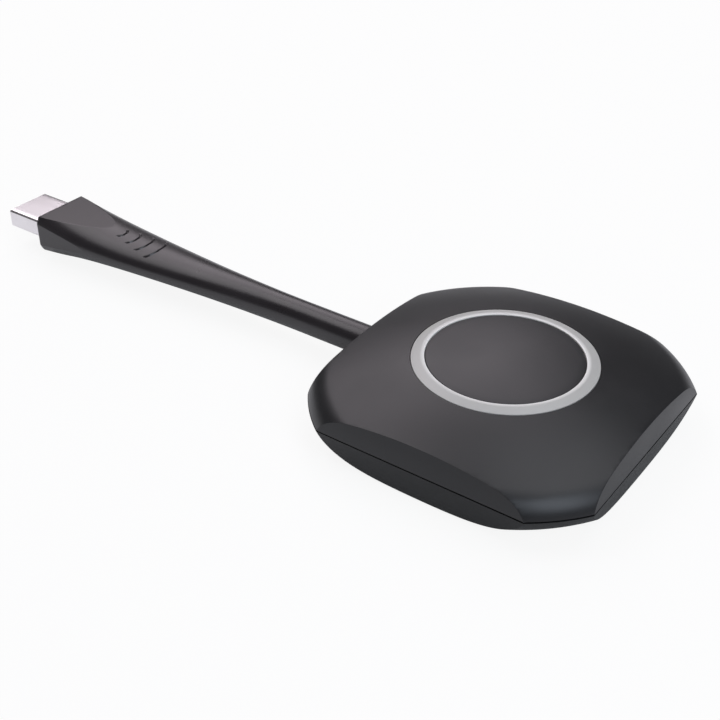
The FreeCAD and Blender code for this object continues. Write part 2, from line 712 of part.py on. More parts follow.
def make_switch_snap_dome():
    """Thin sprung disc with a raised middle that the plunger clicks down."""
    z = BOARD_TOP_Z + SWITCH_FLOOR
    top = z + SNAP_DOME_RISE
    rim, flat, sheet = SNAP_DOME_RADIUS, SNAP_DOME_FLAT, SNAP_DOME_SHEET
    return polygon_spin([(0, top), (flat, top), (rim, z), (rim, z + sheet), (flat, top + sheet),
                         (0, top + sheet)])


# Board and its parts


def board_edge_end(edge, other_edge):
    """How far one edge of the board runs before the corner is cut off."""
    round_limit = math.sqrt((CORNER_RADIUS - BOARD_ROUND_GAP) ** 2 - edge ** 2)
    return min(other_edge - BOARD_CORNER, round_limit)


def make_main_board():
    back, front = HALF_FLATS - BOARD_BACK_GAP, HALF_FLATS - BOARD_FRONT_GAP
    side = board_half_width()
    left = [(front, board_edge_end(front, side)), (board_edge_end(side, front), side),
            (-board_edge_end(side, back), side), (-back, board_edge_end(back, side)),
            (-back, BOARD_NOTCH_HALF), (BOARD_NOTCH_DEPTH - back, BOARD_NOTCH_HALF)]
    outline = left + [(x, -y) for x, y in reversed(left)]
    points = [V(x, y, BOARD_BOTTOM_Z) for x, y in outline]
    board = Part.Face(Part.makePolygon(points + points[:1])).extrude(V(0, 0, BOARD_THICKNESS))
    for x, y in boss_places():
        board = board.cut(post(BOSS_RADIUS + BOSS_HOLE_CLEARANCE, x, y, 0, DOME_TOP_Z))
    for x, y in board_screw_places():
        board = board.cut(post(SMALL_SCREW_RADIUS + SCREW_CLEARANCE, x, y, 0, DOME_TOP_Z))
    return board


def under_board(x, y, length, width, height):
    """Block soldered to the underside of the board."""
    return centred_box(x, y, length, width, BOARD_BOTTOM_Z - height, BOARD_BOTTOM_Z)


def make_processor_chip():
    return under_board(SHIELD_X, 0, CHIP_SIDE, CHIP_SIDE, CHIP_HEIGHT)


def make_thermal_pad():
    top = BOARD_BOTTOM_Z - CHIP_HEIGHT
    bottom = BOARD_BOTTOM_Z - SHIELD_HEIGHT + SHIELD_SHEET
    side = CHIP_SIDE - 2 * THERMAL_PAD_INSET
    return centred_box(SHIELD_X, 0, side, side, bottom, top)


def make_shield_frame():
    sheet = SHIELD_SHEET
    height = SHIELD_HEIGHT - sheet
    outer = under_board(SHIELD_X, 0, SHIELD_LENGTH - 2 * sheet, SHIELD_WIDTH - 2 * sheet, height)
    inner = under_board(SHIELD_X, 0, SHIELD_LENGTH - 4 * sheet, SHIELD_WIDTH - 4 * sheet, height)
    return outer.cut(inner)


def make_shield_lid():
    sheet = SHIELD_SHEET
    low = BOARD_BOTTOM_Z - SHIELD_HEIGHT
    outer = centred_box(SHIELD_X, 0, SHIELD_LENGTH, SHIELD_WIDTH, low, BOARD_BOTTOM_Z - SHIELD_SKIRT_GAP)
    inner = centred_box(SHIELD_X, 0, SHIELD_LENGTH - 2 * sheet, SHIELD_WIDTH - 2 * sheet, low + sheet,
                        BOARD_BOTTOM_Z)
    return outer.cut(inner)


def make_memory_chips():
    y = SHIELD_WIDTH / 2 + MEMORY_WIDTH / 2 + MEMORY_GAP
    return Part.makeCompound([under_board(MEMORY_X, s * y, MEMORY_LENGTH, MEMORY_WIDTH, MEMORY_HEIGHT)
                              for s in (-1, 1)])


def make_wifi_module():
    x = SHIELD_X + (SHIELD_LENGTH + WIFI_SIDE) / 2 + WIFI_GAP
    return under_board(x, 0, WIFI_SIDE, WIFI_SIDE, WIFI_HEIGHT)


def make_crystals():
    return Part.makeCompound([under_board(x, y, CRYSTAL_LENGTH, CRYSTAL_WIDTH, CRYSTAL_HEIGHT)
                              for x, y in CRYSTAL_PLACES])


def make_power_inductors():
    blocks = []
    for x, y in INDUCTOR_PLACES:
        block = under_board(x, y, INDUCTOR_SIDE, INDUCTOR_SIDE, INDUCTOR_HEIGHT)
        upright = [e for e in block.Edges if e.BoundBox.ZLength > INDUCTOR_HEIGHT / 2]
        blocks.append(block.makeChamfer(INDUCTOR_CORNER, upright))
    return Part.makeCompound(blocks)


def make_board_capacitors():
    """Two rows of ceramic capacitors on top of the board, inside the ring of LEDs."""
    places = [(CAPACITOR_PITCH * (i - (CAPACITOR_COUNT - 1) / 2), side * CAPACITOR_ROW_Y)
              for side in (-1, 1) for i in range(CAPACITOR_COUNT)]
    return Part.makeCompound([
        centred_box(x, y, CAPACITOR_WIDTH, CAPACITOR_LENGTH, BOARD_TOP_Z, BOARD_TOP_Z + CAPACITOR_HEIGHT)
        for x, y in places])


# Antennas


def antenna_y():
    """Outer face of the antenna, close to the inside of the wall where the wall is nearest."""
    lean = math.radians(LOWER_LEAN_DEG)
    facet = HALF_FLATS - WALL / math.cos(lean) - (PARTING_Z - ANTENNA_Z) * math.tan(lean)
    far_end = abs(ANTENNA_X) + ANTENNA_LENGTH / 2
    turned = math.sqrt(lower_inside_radius(ANTENNA_Z) ** 2 - far_end ** 2)
    return min(facet, turned) - ANTENNA_WALL_GAP


def make_antenna(side):
    """Small aerial board that stands against the side wall."""
    y1 = antenna_y()
    y0 = y1 - ANTENNA_THICKNESS
    plate = box(ANTENNA_X - ANTENNA_LENGTH / 2, ANTENNA_X + ANTENNA_LENGTH / 2, y0, y1, ANTENNA_Z,
                ANTENNA_Z + ANTENNA_HEIGHT)
    return mirrored(plate, side)


def mirrored(shape, side):
    """The left side is +Y, and the right one is its mirror image."""
    return shape if side > 0 else shape.mirror(V(0, 0, 0), V(0, 1, 0))


def lead_start():
    y = antenna_y() - ANTENNA_THICKNESS - LEAD_RADIUS
    return V(ANTENNA_X - ANTENNA_LENGTH / 2 + LEAD_OVERLAP, y, LEAD_Z)


def socket_y():
    return lead_start().y - LEAD_BEND - LEAD_CROSSING


def round_run(start, end, radius):
    """Straight stretch of a wire."""
    along = end - start
    return Part.makeCylinder(radius, along.Length, start, along)


def round_bend(start, centre, end, radius):
    """Bend of a wire from start to end, about a centre at equal distance from both."""
    normal = (start - centre).cross(end - centre)
    tangent = normal.cross(start - centre)
    disc = Part.Face(Part.Wire([Part.Circle(start, tangent, radius).toShape()]))
    return disc.revolve(centre, normal, math.degrees((start - centre).getAngle(end - centre)))


def make_antenna_lead(side):
    """Coaxial lead from the aerial, back and across, to its socket on the board."""
    start = lead_start()
    corner = V(SOCKET_X, start.y, LEAD_Z)
    end = V(SOCKET_X, socket_y() + SOCKET_RADIUS, LEAD_Z)
    return mirrored(rounded_wire([start, corner, end], LEAD_RADIUS, LEAD_BEND), side)


def make_antenna_sockets():
    return Part.makeCompound([
        post(SOCKET_RADIUS, SOCKET_X, s * socket_y(), BOARD_BOTTOM_Z - SOCKET_HEIGHT, BOARD_BOTTOM_Z)
        for s in (-1, 1)])


# Cable


def wire_row_z():
    return BOARD_BOTTOM_Z - HEADER_HEIGHT / 2


def header_back_x():
    return HEADER_FRONT_X - HEADER_LENGTH


def make_wire_header():
    block = box(header_back_x(), HEADER_FRONT_X, -HEADER_WIDTH / 2, HEADER_WIDTH / 2,
                BOARD_BOTTOM_Z - HEADER_HEIGHT, BOARD_BOTTOM_Z)
    half = WIRE_PLUG_HEIGHT / 2 + BORE_CLEARANCE
    mouth = box(header_back_x() - PAST, HEADER_FRONT_X - HEADER_WALL, -HEADER_WIDTH / 2 + HEADER_WALL,
                HEADER_WIDTH / 2 - HEADER_WALL, wire_row_z() - half, wire_row_z() + half)
    return block.cut(mouth)


def make_wire_plug():
    front = HEADER_FRONT_X - HEADER_WALL - BORE_CLEARANCE
    half = HEADER_WIDTH / 2 - HEADER_WALL - BORE_CLEARANCE
    return box(wire_plug_back_x(), front, -half, half,
               wire_row_z() - WIRE_PLUG_HEIGHT / 2, wire_row_z() + WIRE_PLUG_HEIGHT / 2)


def wire_plug_back_x():
    return HEADER_FRONT_X - HEADER_WALL - BORE_CLEARANCE - WIRE_PLUG_LENGTH


def contact_z():
    return PARTING_Z - USB_HEIGHT / 2 + USB_SHEET + TONGUE_HEIGHT + CONTACT_SHEET / 2


def contact_back_x():
    return USB_TIP_X + USB_LENGTH + CONTACT_TAIL


def rounded_wire(points, radius, bend):
    """Wire of straight runs joined by tangent bends."""
    pieces = []
    start = points[0]
    for before, corner, after in zip(points, points[1:], points[2:]):
        back = before - corner
        ahead = after - corner
        half_angle = back.getAngle(ahead) / 2
        reach = bend / math.tan(half_angle)
        a = corner + back.normalize() * reach
        b = corner + ahead.normalize() * reach
        centre = corner + (back + ahead).normalize() * (reach / math.cos(half_angle))
        pieces.append(round_run(start, a, radius))
        pieces.append(round_bend(a, centre, b, radius))
        start = b
    pieces.append(round_run(start, points[-1], radius))
    return fused(pieces)


def wire_points(index):
    """Route of one insulated wire from its contact to its place in the board plug."""
    across, up = WIRE_CORNERS[index]
    y0, z0 = across * WIRE_SPACING, PARTING_Z + up * WIRE_SPACING
    y_end = WIRE_PITCH * (index - (len(CONTACT_Y) - 1) / 2)
    back = wire_plug_back_x()
    return [V(contact_back_x(), CONTACT_Y[index], contact_z()),
            V(contact_back_x() + FAN_RUN, CONTACT_Y[index], contact_z()),
            V(contact_back_x() + FAN_LENGTH, y0, z0),
            V(jacket_end_x() + STRIP_LENGTH, y0, z0),
            V(back - FAN_RUN, y_end, wire_row_z()),
            V(back, y_end, wire_row_z())]


def make_wire(index):
    return rounded_wire(wire_points(index), WIRE_RADIUS, WIRE_BEND)


def jacket_start_x():
    return contact_back_x() + FAN_LENGTH + FAN_RUN / 2


def jacket_end_x():
    return JACKET_END_GAP - HALF_FLATS


def make_cable_braid():
    start, end = jacket_start_x() + STRIP_LENGTH, jacket_end_x() - STRIP_LENGTH
    return rod(BRAID_RADIUS, start, end).cut(rod(BRAID_RADIUS - BRAID_SHEET, start - PAST, end + PAST))


def make_cable_jacket():
    start, end = jacket_start_x(), jacket_end_x()
    return rod(JACKET_RADIUS, start, end).cut(rod(BRAID_RADIUS + BORE_CLEARANCE, start - PAST, end + PAST))


# Tail sleeve: the square to round grip is the feature that takes the most skill


def quarter_poles(y0, z0, dy, dz, x):
    """Side point, corner and crown point that frame a quarter of an ellipse at constant x."""
    y, z = y0 + dy, PARTING_Z + z0 + dz
    return [V(x, y, PARTING_Z + z0), V(x, y, z), V(x, y0, z)]


def quarter_edge(poles):
    """Exact quarter of an ellipse, from its side point to its crown point."""
    curve = Part.BezierCurve()
    curve.setPoles(poles)
    curve.setWeight(2, DIAGONAL)
    return curve.toShape()


def egg_quarters(x, share, inset):
    """Four quarters of the tail's section, anticlockwise from the left side point (+Y).

    The share is 1 at the shoulder of the grip and 0 at the round tail.
    """
    def mixed(size):
        return TAIL_RADIUS + (size - TAIL_RADIUS) * share - inset
    side, drop = mixed(SHOULDER_HALF_WIDTH), SHOULDER_SIDE_DROP * share
    up, down = mixed(SHOULDER_TOP) + drop, mixed(SHOULDER_BOTTOM) - drop
    return [quarter_poles(0, -drop, side, up, x), quarter_poles(0, -drop, -side, up, x),
            quarter_poles(0, -drop, -side, -down, x), quarter_poles(0, -drop, side, -down, x)]


def grip_corners(inset):
    """Four corner arcs of the grip's front outline, in the order of the egg's quarters."""
    w, r = GRIP_HALF_WIDTH - inset, GRIP_CORNER - inset / 2
    top, bottom = GRIP_TOP - inset, GRIP_BOTTOM - inset
    y, up, down, x = w - r, top - r, bottom - r, GRIP_FRONT_X
    return [quarter_poles(y, up, r, r, x), quarter_poles(-y, up, -r, r, x),
            quarter_poles(-y, -down, -r, -r, x), quarter_poles(y, -down, r, -r, x)]


def ends(edge):
    return edge.valueAt(edge.FirstParameter), edge.valueAt(edge.LastParameter)


def flat(a, b, c):
    return Part.Face(Part.makePolygon([a, b, c, a]))


def closed_solid(faces):
    shell = Part.makeShell(faces)
    shell.sewShape()
    solid = Part.makeSolid(shell)
    return solid if solid.Volume > 0 else Part.makeSolid(shell.reversed())


def capped(edges):
    return Part.Face(Part.Wire(Part.__sortEdges__(edges)))


def square_to_round(corners, quarters):
    """Four cone-like corners and four flat triangles between a rounded square and an egg."""
    faces = [Part.makeRuledSurface(c, q) for c, q in zip(corners, quarters)]
    front = [ends(c) for c in corners]
    back = [ends(q) for q in quarters]
    faces.append(flat(front[0][1], front[1][1], back[0][1]))
    faces.append(flat(front[1][0], front[2][0], back[1][0]))
    faces.append(flat(front[2][1], front[3][1], back[2][1]))
    faces.append(flat(front[3][0], front[0][0], back[3][0]))
    front_edges = list(corners) + [line(front[0][1], front[1][1]), line(front[1][0], front[2][0]),
                                   line(front[2][1], front[3][1]), line(front[3][0], front[0][0])]
    faces.append(capped(front_edges))
    faces.append(capped(quarters))
    return closed_solid(faces)


def taper_patch(rows):
    """Patch framed by three rows of poles, a parabola along the tail and an ellipse across it."""
    patch = Part.BezierSurface()
    patch.increase(2, 2)
    for i, row in enumerate(rows):
        for j, pole in enumerate(row):
            patch.setPole(i + 1, j + 1, pole, DIAGONAL if j == 1 else 1.0)
    return patch.toShape()


def taper_solid(inset):
    """From the shoulder's egg to the round tail, which it meets without a kink."""
    shoulder = egg_quarters(SHOULDER_X, 1, inset)
    middle = egg_quarters((SHOULDER_X + NECK_X) / 2, 0, inset)
    neck = egg_quarters(NECK_X, 0, inset)
    faces = [taper_patch(rows) for rows in zip(shoulder, middle, neck)]
    for section in (shoulder, neck):
        faces.append(capped([quarter_edge(poles) for poles in section]))
    return closed_solid(faces)


def tail_form(inset):
    """Outer form of grip, taper and round tail."""
    corners = [quarter_edge(poles) for poles in grip_corners(inset)]
    quarters = [quarter_edge(poles) for poles in egg_quarters(SHOULDER_X, 1, inset)]
    round_tail = rod(TAIL_RADIUS - inset, NECK_X, collar_front_x() + COLLAR_THICKNESS / 2)
    return [square_to_round(corners, quarters), taper_solid(inset), round_tail]


def groove_band(index):
    """Half ellipse of one finger groove, seen from above, as a tall bent strip."""
    half = GROOVE_FIRST_HALF + GROOVE_HALF_STEP * index
    sag = GROOVE_FIRST_SAG + GROOVE_SAG_STEP * index
    centre = V(GROOVE_FIRST_X + GROOVE_PITCH * index - sag, 0, PARTING_Z)
    def half_disc(grow):
        long_side, short_side = max(half, sag) + grow, min(half, sag) + grow
        ellipse = Part.Ellipse(centre, long_side, short_side)
        face = Part.Face(Part.Wire([ellipse.toShape()]))
        if half > sag:
            face.rotate(centre, V(0, 0, 1), FULL_TURN / 4)
        return face.extrude(V(0, 0, DOME_TOP_Z))
    front = box(centre.x, centre.x + SLAB, -SLAB, SLAB, -SLAB, SLAB)
    return half_disc(GROOVE_WIDTH / 2).cut(half_disc(-GROOVE_WIDTH / 2)).common(front)


def make_tail_sleeve():
    sleeve = fused(tail_form(0) + [collar_form(0)])
    core = fused(tail_form(GROOVE_DEPTH))
    for i in range(GROOVE_COUNT):
        sleeve = sleeve.cut(groove_band(i).cut(core))
    sleeve = sleeve.cut(inner_mould_form(BORE_CLEARANCE))
    sleeve = sleeve.cut(plug_form(BORE_CLEARANCE, GRIP_FRONT_X - PAST, mould_front_x() + PAST))
    return sleeve.cut(rod(JACKET_RADIUS + BORE_CLEARANCE, jacket_start_x() - PAST, 0))


# Plug


def mould_front_x():
    return GRIP_FRONT_X + MOULD_SETBACK


def mould_back_x():
    return mould_front_x() + MOULD_LENGTH


def plug_form(grow, x0, x1):
    """Outline of the plug's metal shell, grown all round, as a bar between two places."""
    return bar(USB_WIDTH + 2 * grow, USB_HEIGHT + 2 * grow, USB_CORNER + grow, x0, x1)


def inner_mould_form(grow):
    return bar(2 * (MOULD_HALF_WIDTH + grow), 2 * (MOULD_HALF_HEIGHT + grow), MOULD_CORNER + grow,
               mould_front_x() - grow, mould_back_x() + grow)


def wire_fan_pocket():
    """Wedge behind the plug in which the wires close up from their contacts to the cable."""
    wide = CONTACT_Y[-1] + WIRE_RADIUS + FAN_ROOM
    narrow = WIRE_SPACING + WIRE_RADIUS + FAN_ROOM
    x0, x1 = contact_back_x(), contact_back_x() + FAN_LENGTH
    left = [(x0, wide), (x0 + FAN_RUN, wide), (x1, narrow), (x1 + FAN_RUN, narrow)]
    outline = left + [(x, -y) for x, y in reversed(left)]
    corners = [V(x, y, PARTING_Z - narrow) for x, y in outline]
    return Part.Face(Part.makePolygon(corners + corners[:1])).extrude(V(0, 0, 2 * narrow))


def make_plug_inner_mould():
    """Hard inner moulding round the rear of the plug, the soldered wires and the end of the jacket."""
    shell_back = USB_TIP_X + USB_LENGTH + BORE_CLEARANCE
    mould = inner_mould_form(0).cut(plug_form(BORE_CLEARANCE, mould_front_x() - PAST, shell_back))
    half_slot = CONTACT_SHEET / 2 + BORE_CLEARANCE
    for y in CONTACT_Y:
        mould = mould.cut(centred_box(contact_back_x() - CONTACT_TAIL / 2, y, CONTACT_TAIL + PAST,
                                      CONTACT_WIDTH + 2 * BORE_CLEARANCE,
                                      contact_z() - half_slot, contact_z() + half_slot))
    mould = mould.cut(wire_fan_pocket())
    return mould.cut(rod(JACKET_RADIUS + BORE_CLEARANCE, jacket_start_x() - BORE_CLEARANCE, 0))


def make_usb_shell():
    end = USB_TIP_X + USB_LENGTH
    shell = plug_form(0, USB_TIP_X, end).cut(plug_form(-USB_SHEET, USB_TIP_X - PAST, end + PAST))
    window_x = USB_TIP_X + USB_WINDOW_X + USB_WINDOW_LENGTH / 2
    for side in (-1, 1):
        shell = shell.cut(centred_box(window_x, side * USB_WINDOW_Y, USB_WINDOW_LENGTH, USB_WINDOW_WIDTH,
                                      PARTING_Z - USB_HEIGHT, PARTING_Z - USB_HEIGHT / 2 + USB_SHEET))
    return shell


def runs_along_outer_corner(edge, half, levels):
    """True for an edge along X at the side face and at one of the levels."""
    centre = edge.CenterOfMass
    along_x = edge.BoundBox.XLength > USB_BLOCK_LENGTH / 2 and edge.BoundBox.ZLength < USB_SHEET
    at_side = abs(abs(centre.y) - half) < BORE_CLEARANCE
    return along_x and at_side and min(abs(centre.z - level) for level in levels) < BORE_CLEARANCE


def make_usb_insulator():
    floor = PARTING_Z - USB_HEIGHT / 2 + USB_SHEET + BORE_CLEARANCE
    half = USB_WIDTH / 2 - USB_SHEET - BORE_CLEARANCE
    end = USB_TIP_X + USB_LENGTH
    tongue_top = contact_z() - CONTACT_SHEET / 2
    tongue = box(USB_TIP_X + TONGUE_SETBACK, end, -half, half, floor, tongue_top)
    lid = PARTING_Z + USB_HEIGHT / 2 - USB_SHEET - BORE_CLEARANCE
    block = box(end - USB_BLOCK_LENGTH, end, -half, half, floor, lid)
    body = tongue.fuse(block).removeSplitter()
    for y in CONTACT_Y:
        body = body.cut(centred_box(USB_TIP_X + USB_LENGTH / 2, y, USB_LENGTH * 2,
                                    CONTACT_WIDTH + 2 * BORE_CLEARANCE,
                                    tongue_top, tongue_top + CONTACT_SHEET + BORE_CLEARANCE))
    corners = [e for e in body.Edges if runs_along_outer_corner(e, half, (floor, lid))]
    return body.makeChamfer(USB_CORNER - USB_SHEET, corners)


def make_usb_contacts():
    low, high = contact_z() - CONTACT_SHEET / 2, contact_z() + CONTACT_SHEET / 2
    half = CONTACT_WIDTH / 2
    return Part.makeCompound([
        box(USB_TIP_X + CONTACT_SETBACK, contact_back_x(), y - half, y + half, low, high)
        for y in CONTACT_Y])


def main():
    os.makedirs("parts", exist_ok=True)
    export("top_shell", make_top_shell())
    export("bottom_shell", make_bottom_shell())
    export("foot_pad", make_foot_pad())
    export("case_screws", make_case_screws())
    export("light_ring", make_light_ring())
    export("ring_reflector", make_ring_reflector())
    export("reflector_screws", make_reflector_screws())
    export("ring_leds", make_ring_leds())
    export("button_cap", make_button_cap())
    export("switch_housing", make_switch_housing())
    export("switch_cover", make_switch_cover())
    export("switch_plunger", make_switch_plunger())
    export("switch_snap_dome", make_switch_snap_dome())
    export("main_board", make_main_board())
    export("board_screws", make_board_screws())
    export("processor_chip", make_processor_chip())
    export("thermal_pad", make_thermal_pad())
    export("shield_frame", make_shield_frame())
    export("shield_lid", make_shield_lid())
    export("memory_chips", make_memory_chips())
    export("wifi_module", make_wifi_module())
    export("crystals", make_crystals())
    export("power_inductors", make_power_inductors())
    export("board_capacitors", make_board_capacitors())
    for name, side in (("left", 1), ("right", -1)):
        export("antenna_" + name, make_antenna(side))
        export("antenna_lead_" + name, make_antenna_lead(side))
    export("antenna_sockets", make_antenna_sockets())
    export("wire_header", make_wire_header())
    export("wire_plug", make_wire_plug())
    for index, colour in enumerate(("red", "white", "green", "black")):
        export("wire_" + colour, make_wire(index))
    export("cable_braid", make_cable_braid())
    export("cable_jacket", make_cable_jacket())
    export("tail_sleeve", make_tail_sleeve())
    export("plug_inner_mould", make_plug_inner_mould())
    export("usb_shell", make_usb_shell())
    export("usb_insulator", make_usb_insulator())
    export("usb_contacts", make_usb_contacts())


main()
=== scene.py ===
# %% [markdown]
# # A wireless screen sharing dongle
#
# The object is a palm-sized puck with one large round push button, a light ring round the
# button, and a short soft tail that ends in a flat metal plug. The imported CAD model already
# holds every piece at its real size and place. This lesson dresses it: the pieces that show
# get smooth meshes and moulded, rubbery or plated finishes, and nothing is moved.

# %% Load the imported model
import json
import math

import bmesh
import bpy
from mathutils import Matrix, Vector


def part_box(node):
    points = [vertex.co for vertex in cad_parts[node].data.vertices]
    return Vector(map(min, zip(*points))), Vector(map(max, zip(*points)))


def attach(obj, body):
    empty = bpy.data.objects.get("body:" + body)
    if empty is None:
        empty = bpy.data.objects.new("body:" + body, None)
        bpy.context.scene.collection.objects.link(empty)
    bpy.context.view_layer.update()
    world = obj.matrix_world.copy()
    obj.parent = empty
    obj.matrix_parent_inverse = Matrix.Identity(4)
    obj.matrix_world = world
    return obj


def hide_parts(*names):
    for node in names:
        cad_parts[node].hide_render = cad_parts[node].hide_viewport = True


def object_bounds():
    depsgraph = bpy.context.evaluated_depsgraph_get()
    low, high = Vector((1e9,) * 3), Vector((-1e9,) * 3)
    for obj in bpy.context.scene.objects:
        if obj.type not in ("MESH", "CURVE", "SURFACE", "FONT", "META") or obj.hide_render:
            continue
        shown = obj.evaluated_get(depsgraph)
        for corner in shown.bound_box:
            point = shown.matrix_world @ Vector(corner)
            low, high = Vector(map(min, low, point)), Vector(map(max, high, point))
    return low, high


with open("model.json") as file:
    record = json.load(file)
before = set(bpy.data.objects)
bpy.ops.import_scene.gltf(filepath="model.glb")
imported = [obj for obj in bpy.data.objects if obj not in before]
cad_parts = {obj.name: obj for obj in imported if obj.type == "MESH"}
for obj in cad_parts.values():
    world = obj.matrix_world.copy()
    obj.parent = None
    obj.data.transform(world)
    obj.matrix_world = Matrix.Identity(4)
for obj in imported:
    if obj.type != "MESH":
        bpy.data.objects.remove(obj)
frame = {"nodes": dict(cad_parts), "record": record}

cad_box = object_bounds()

# %% [markdown]
# ## Sizes
#
# Blender works in metres, so one millimetre gets a name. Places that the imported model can
# tell are read from the boxes of its nodes. The rest are the radii of the curves between
# them, which no box can tell: the dome, the edge that rolls over from it to the rim, and the
# side of the base. The flat sides lean in by a few degrees, above and below the parting line.

# %% Sizes of the body
MM = 0.001
UP = Vector((0, 0, 1))
FULL_TURN = 2 * math.pi
MERGE_DISTANCE = 0.001 * MM

PARTING_Z = 7.0 * MM
DOME_TOP_Z = 17.0 * MM
DOME_RADIUS = 112.0 * MM
CORNER_RADIUS = 39.0 * MM
EDGE_RADIUS = 7.0 * MM
BASE_Z = 0.5 * MM
BASE_ARC_RADIUS = 10.5 * MM
WALL = 1.8 * MM
UPPER_LEAN = math.radians(7.5)
LOWER_LEAN = math.radians(9.0)
HALF_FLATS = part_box("top_shell")[1][1]
print("Body:", round(2 * HALF_FLATS / MM, 2), "mm across its flats")

# %% [markdown]
# ## Helpers for turned outlines
#
# Covers, ring, button and pad are all turned shapes. Their outline is drawn once in the XZ
# plane: straight parts by adding a vertex, and round parts by spinning the last vertex about
# the centre of its arc. One more spin, about the upright axis, makes the surface.


# %% Outlines and turning
def straight_to(bm, last, radius, height):
    """Carry the outline on, in a straight line."""
    corner = bm.verts.new((radius, 0, height))
    bm.edges.new((last, corner))
    return corner


def arc_to(bm, last, centre, angle, steps):
    """Carry the outline on, round a centre given as (radius, height)."""
    made = bmesh.ops.spin(
        bm, geom=[last], cent=(centre[0], 0, centre[1]), axis=(0, 1, 0), angle=angle, steps=steps
    )
    return [item for item in made["geom_last"] if isinstance(item, bmesh.types.BMVert)][0]


def round_corner(bm, last, corner, ahead, radius, steps=5):
    """Carry the outline on past a rounded corner, on its way to the point ahead."""
    corner = Vector(corner)
    back = (Vector((last.co.x, last.co.z)) - corner).normalized()
    onward = (Vector(ahead) - corner).normalized()
    half = back.angle(onward) / 2
    centre = corner + (back + onward).normalized() * radius / math.sin(half)
    begin = corner + back * radius / math.tan(half)
    clockwise = back.x * onward.y - back.y * onward.x
    angle = math.copysign(math.pi - 2 * half, clockwise)
    last = straight_to(bm, last, begin.x, begin.y)
    return arc_to(bm, last, centre, angle, steps)


def turn_outline(bm, steps):
    """Spin the whole outline once round the upright axis."""
    bmesh.ops.spin(
        bm, geom=bm.verts[:] + bm.edges[:], cent=(0, 0, 0), axis=UP, angle=FULL_TURN,
        steps=steps, use_merge=True
    )
    bmesh.ops.remove_doubles(bm, verts=bm.verts, dist=MERGE_DISTANCE)
    bmesh.ops.recalc_face_normals(bm, faces=bm.faces)


# %% [markdown]
# ## Finishing a piece
#
# A finished bmesh becomes an object at the origin that rides on a body of the frame and
# stands for its CAD node. Small faces shade smoothly and large flat ones stay flat, so that
# no shading bleeds into them. Corners are found by their angle.

# %% Finish a piece
SHARP_ANGLE = math.radians(38)
FLAT_AREA = 20 * MM**2


def make_piece(bm, name, body, nodes):
    """Turn a bmesh into a named piece that stands for CAD nodes."""
    for face in bm.faces:
        face.smooth = face.calc_area() < FLAT_AREA
    mesh = bpy.data.meshes.new(name)
    bm.to_mesh(mesh)
    bm.free()
    mesh.set_sharp_from_angle(angle=SHARP_ANGLE)
    piece = bpy.data.objects.new(name, mesh)
    bpy.context.scene.collection.objects.link(piece)
    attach(piece, body)
    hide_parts(*nodes)
    print(name, "has", len(mesh.polygons), "faces")
    return piece


# %% [markdown]
# ## The covers
#
# Each cover is one injection moulding. The upper one is a shallow dome that rolls over to
# the parting line, the lower one a shallow dish, and both have four flat facets cut from
# their sides. The outline is spun from tangent arcs. Four leaning planes then cut the
# facets, a solidify gives the wall, and a bevel gives the facets the small edge radius that
# a polished mould leaves. A subdivided box could be pulled into this form too, but its dome
# would ripple in the gloss, where a turned one is even.

# %% Values of the covers
TURN_STEPS = 288
DOME_STEPS = 14
EDGE_STEPS = 16
FACET_EDGE = 0.3 * MM
FACET_EDGE_SEGMENTS = 3
SEAM_GAP = 0.25 * MM
SEAM_DEPTH = 0.6 * MM
SEAM_CHAMFER = 0.1 * MM
RING_OUTER = 18.6 * MM
RING_GAP = 0.15 * MM
RING_SEAT_Z = 12.8 * MM
PAD_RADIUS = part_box("foot_pad")[1][0]
PAD_TOP_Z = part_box("foot_pad")[1][2]
PAD_GAP = 0.1 * MM
TOUCH = 0.01 * MM


def dome_height(radius):
    """Height of the dome at a distance from the upright axis."""
    return DOME_TOP_Z - DOME_RADIUS + math.sqrt(DOME_RADIUS**2 - radius**2)


def edge_arc_centre():
    """Centre of the roll-over: tangent to the dome inside, through the rim at the parting line."""
    dome_z = DOME_TOP_Z - DOME_RADIUS
    rise = PARTING_Z - dome_z
    span = math.hypot(CORNER_RADIUS, rise)
    near = DOME_RADIUS - EDGE_RADIUS
    along = (near**2 - EDGE_RADIUS**2 + span**2) / (2 * span)
    across = math.sqrt(near**2 - along**2)
    ux, uz = CORNER_RADIUS / span, rise / span
    return along * ux - across * uz, dome_z + along * uz + across * ux


print("Roll-over turns about", [round(value / MM, 2) for value in edge_arc_centre()], "mm")

# %% [markdown]
# ### Flat sides
#
# Each plane cuts right through the turned skin. The rim of the cut and one new edge along the
# parting plane bound a facet, which is filled as a single face, so that it is truly flat. A
# boolean with a large box would do as well, but it leaves slivers along its cut.


# %% Cutting the facets
def lies_level(item, height):
    """Whether all vertices of an edge or face are at one height."""
    return all(abs(vertex.co.z - height) < TOUCH for vertex in item.verts)


def cut_facets(bm, lean, direction):
    """Cut four flat sides that lean in away from the parting plane, and fill each cut."""
    for quarter in range(4):
        angle = quarter * FULL_TURN / 4
        outwards = Vector((math.cos(angle), math.sin(angle), 0))
        normal = outwards * math.cos(lean) + UP * direction * math.sin(lean)
        place = outwards * HALF_FLATS + UP * PARTING_Z
        cut = bmesh.ops.bisect_plane(
            bm, geom=bm.verts[:] + bm.edges[:] + bm.faces[:], plane_co=place, plane_no=normal,
            clear_outer=True
        )
        rim = [item for item in cut["geom_cut"] if isinstance(item, bmesh.types.BMEdge)]
        corners = {v for edge in rim for v in edge.verts if abs(v.co.z - PARTING_Z) < TOUCH}
        rim.append(bm.edges.new(corners))
        bmesh.ops.contextual_create(bm, geom=rim)
    bmesh.ops.recalc_face_normals(bm, faces=bm.faces)


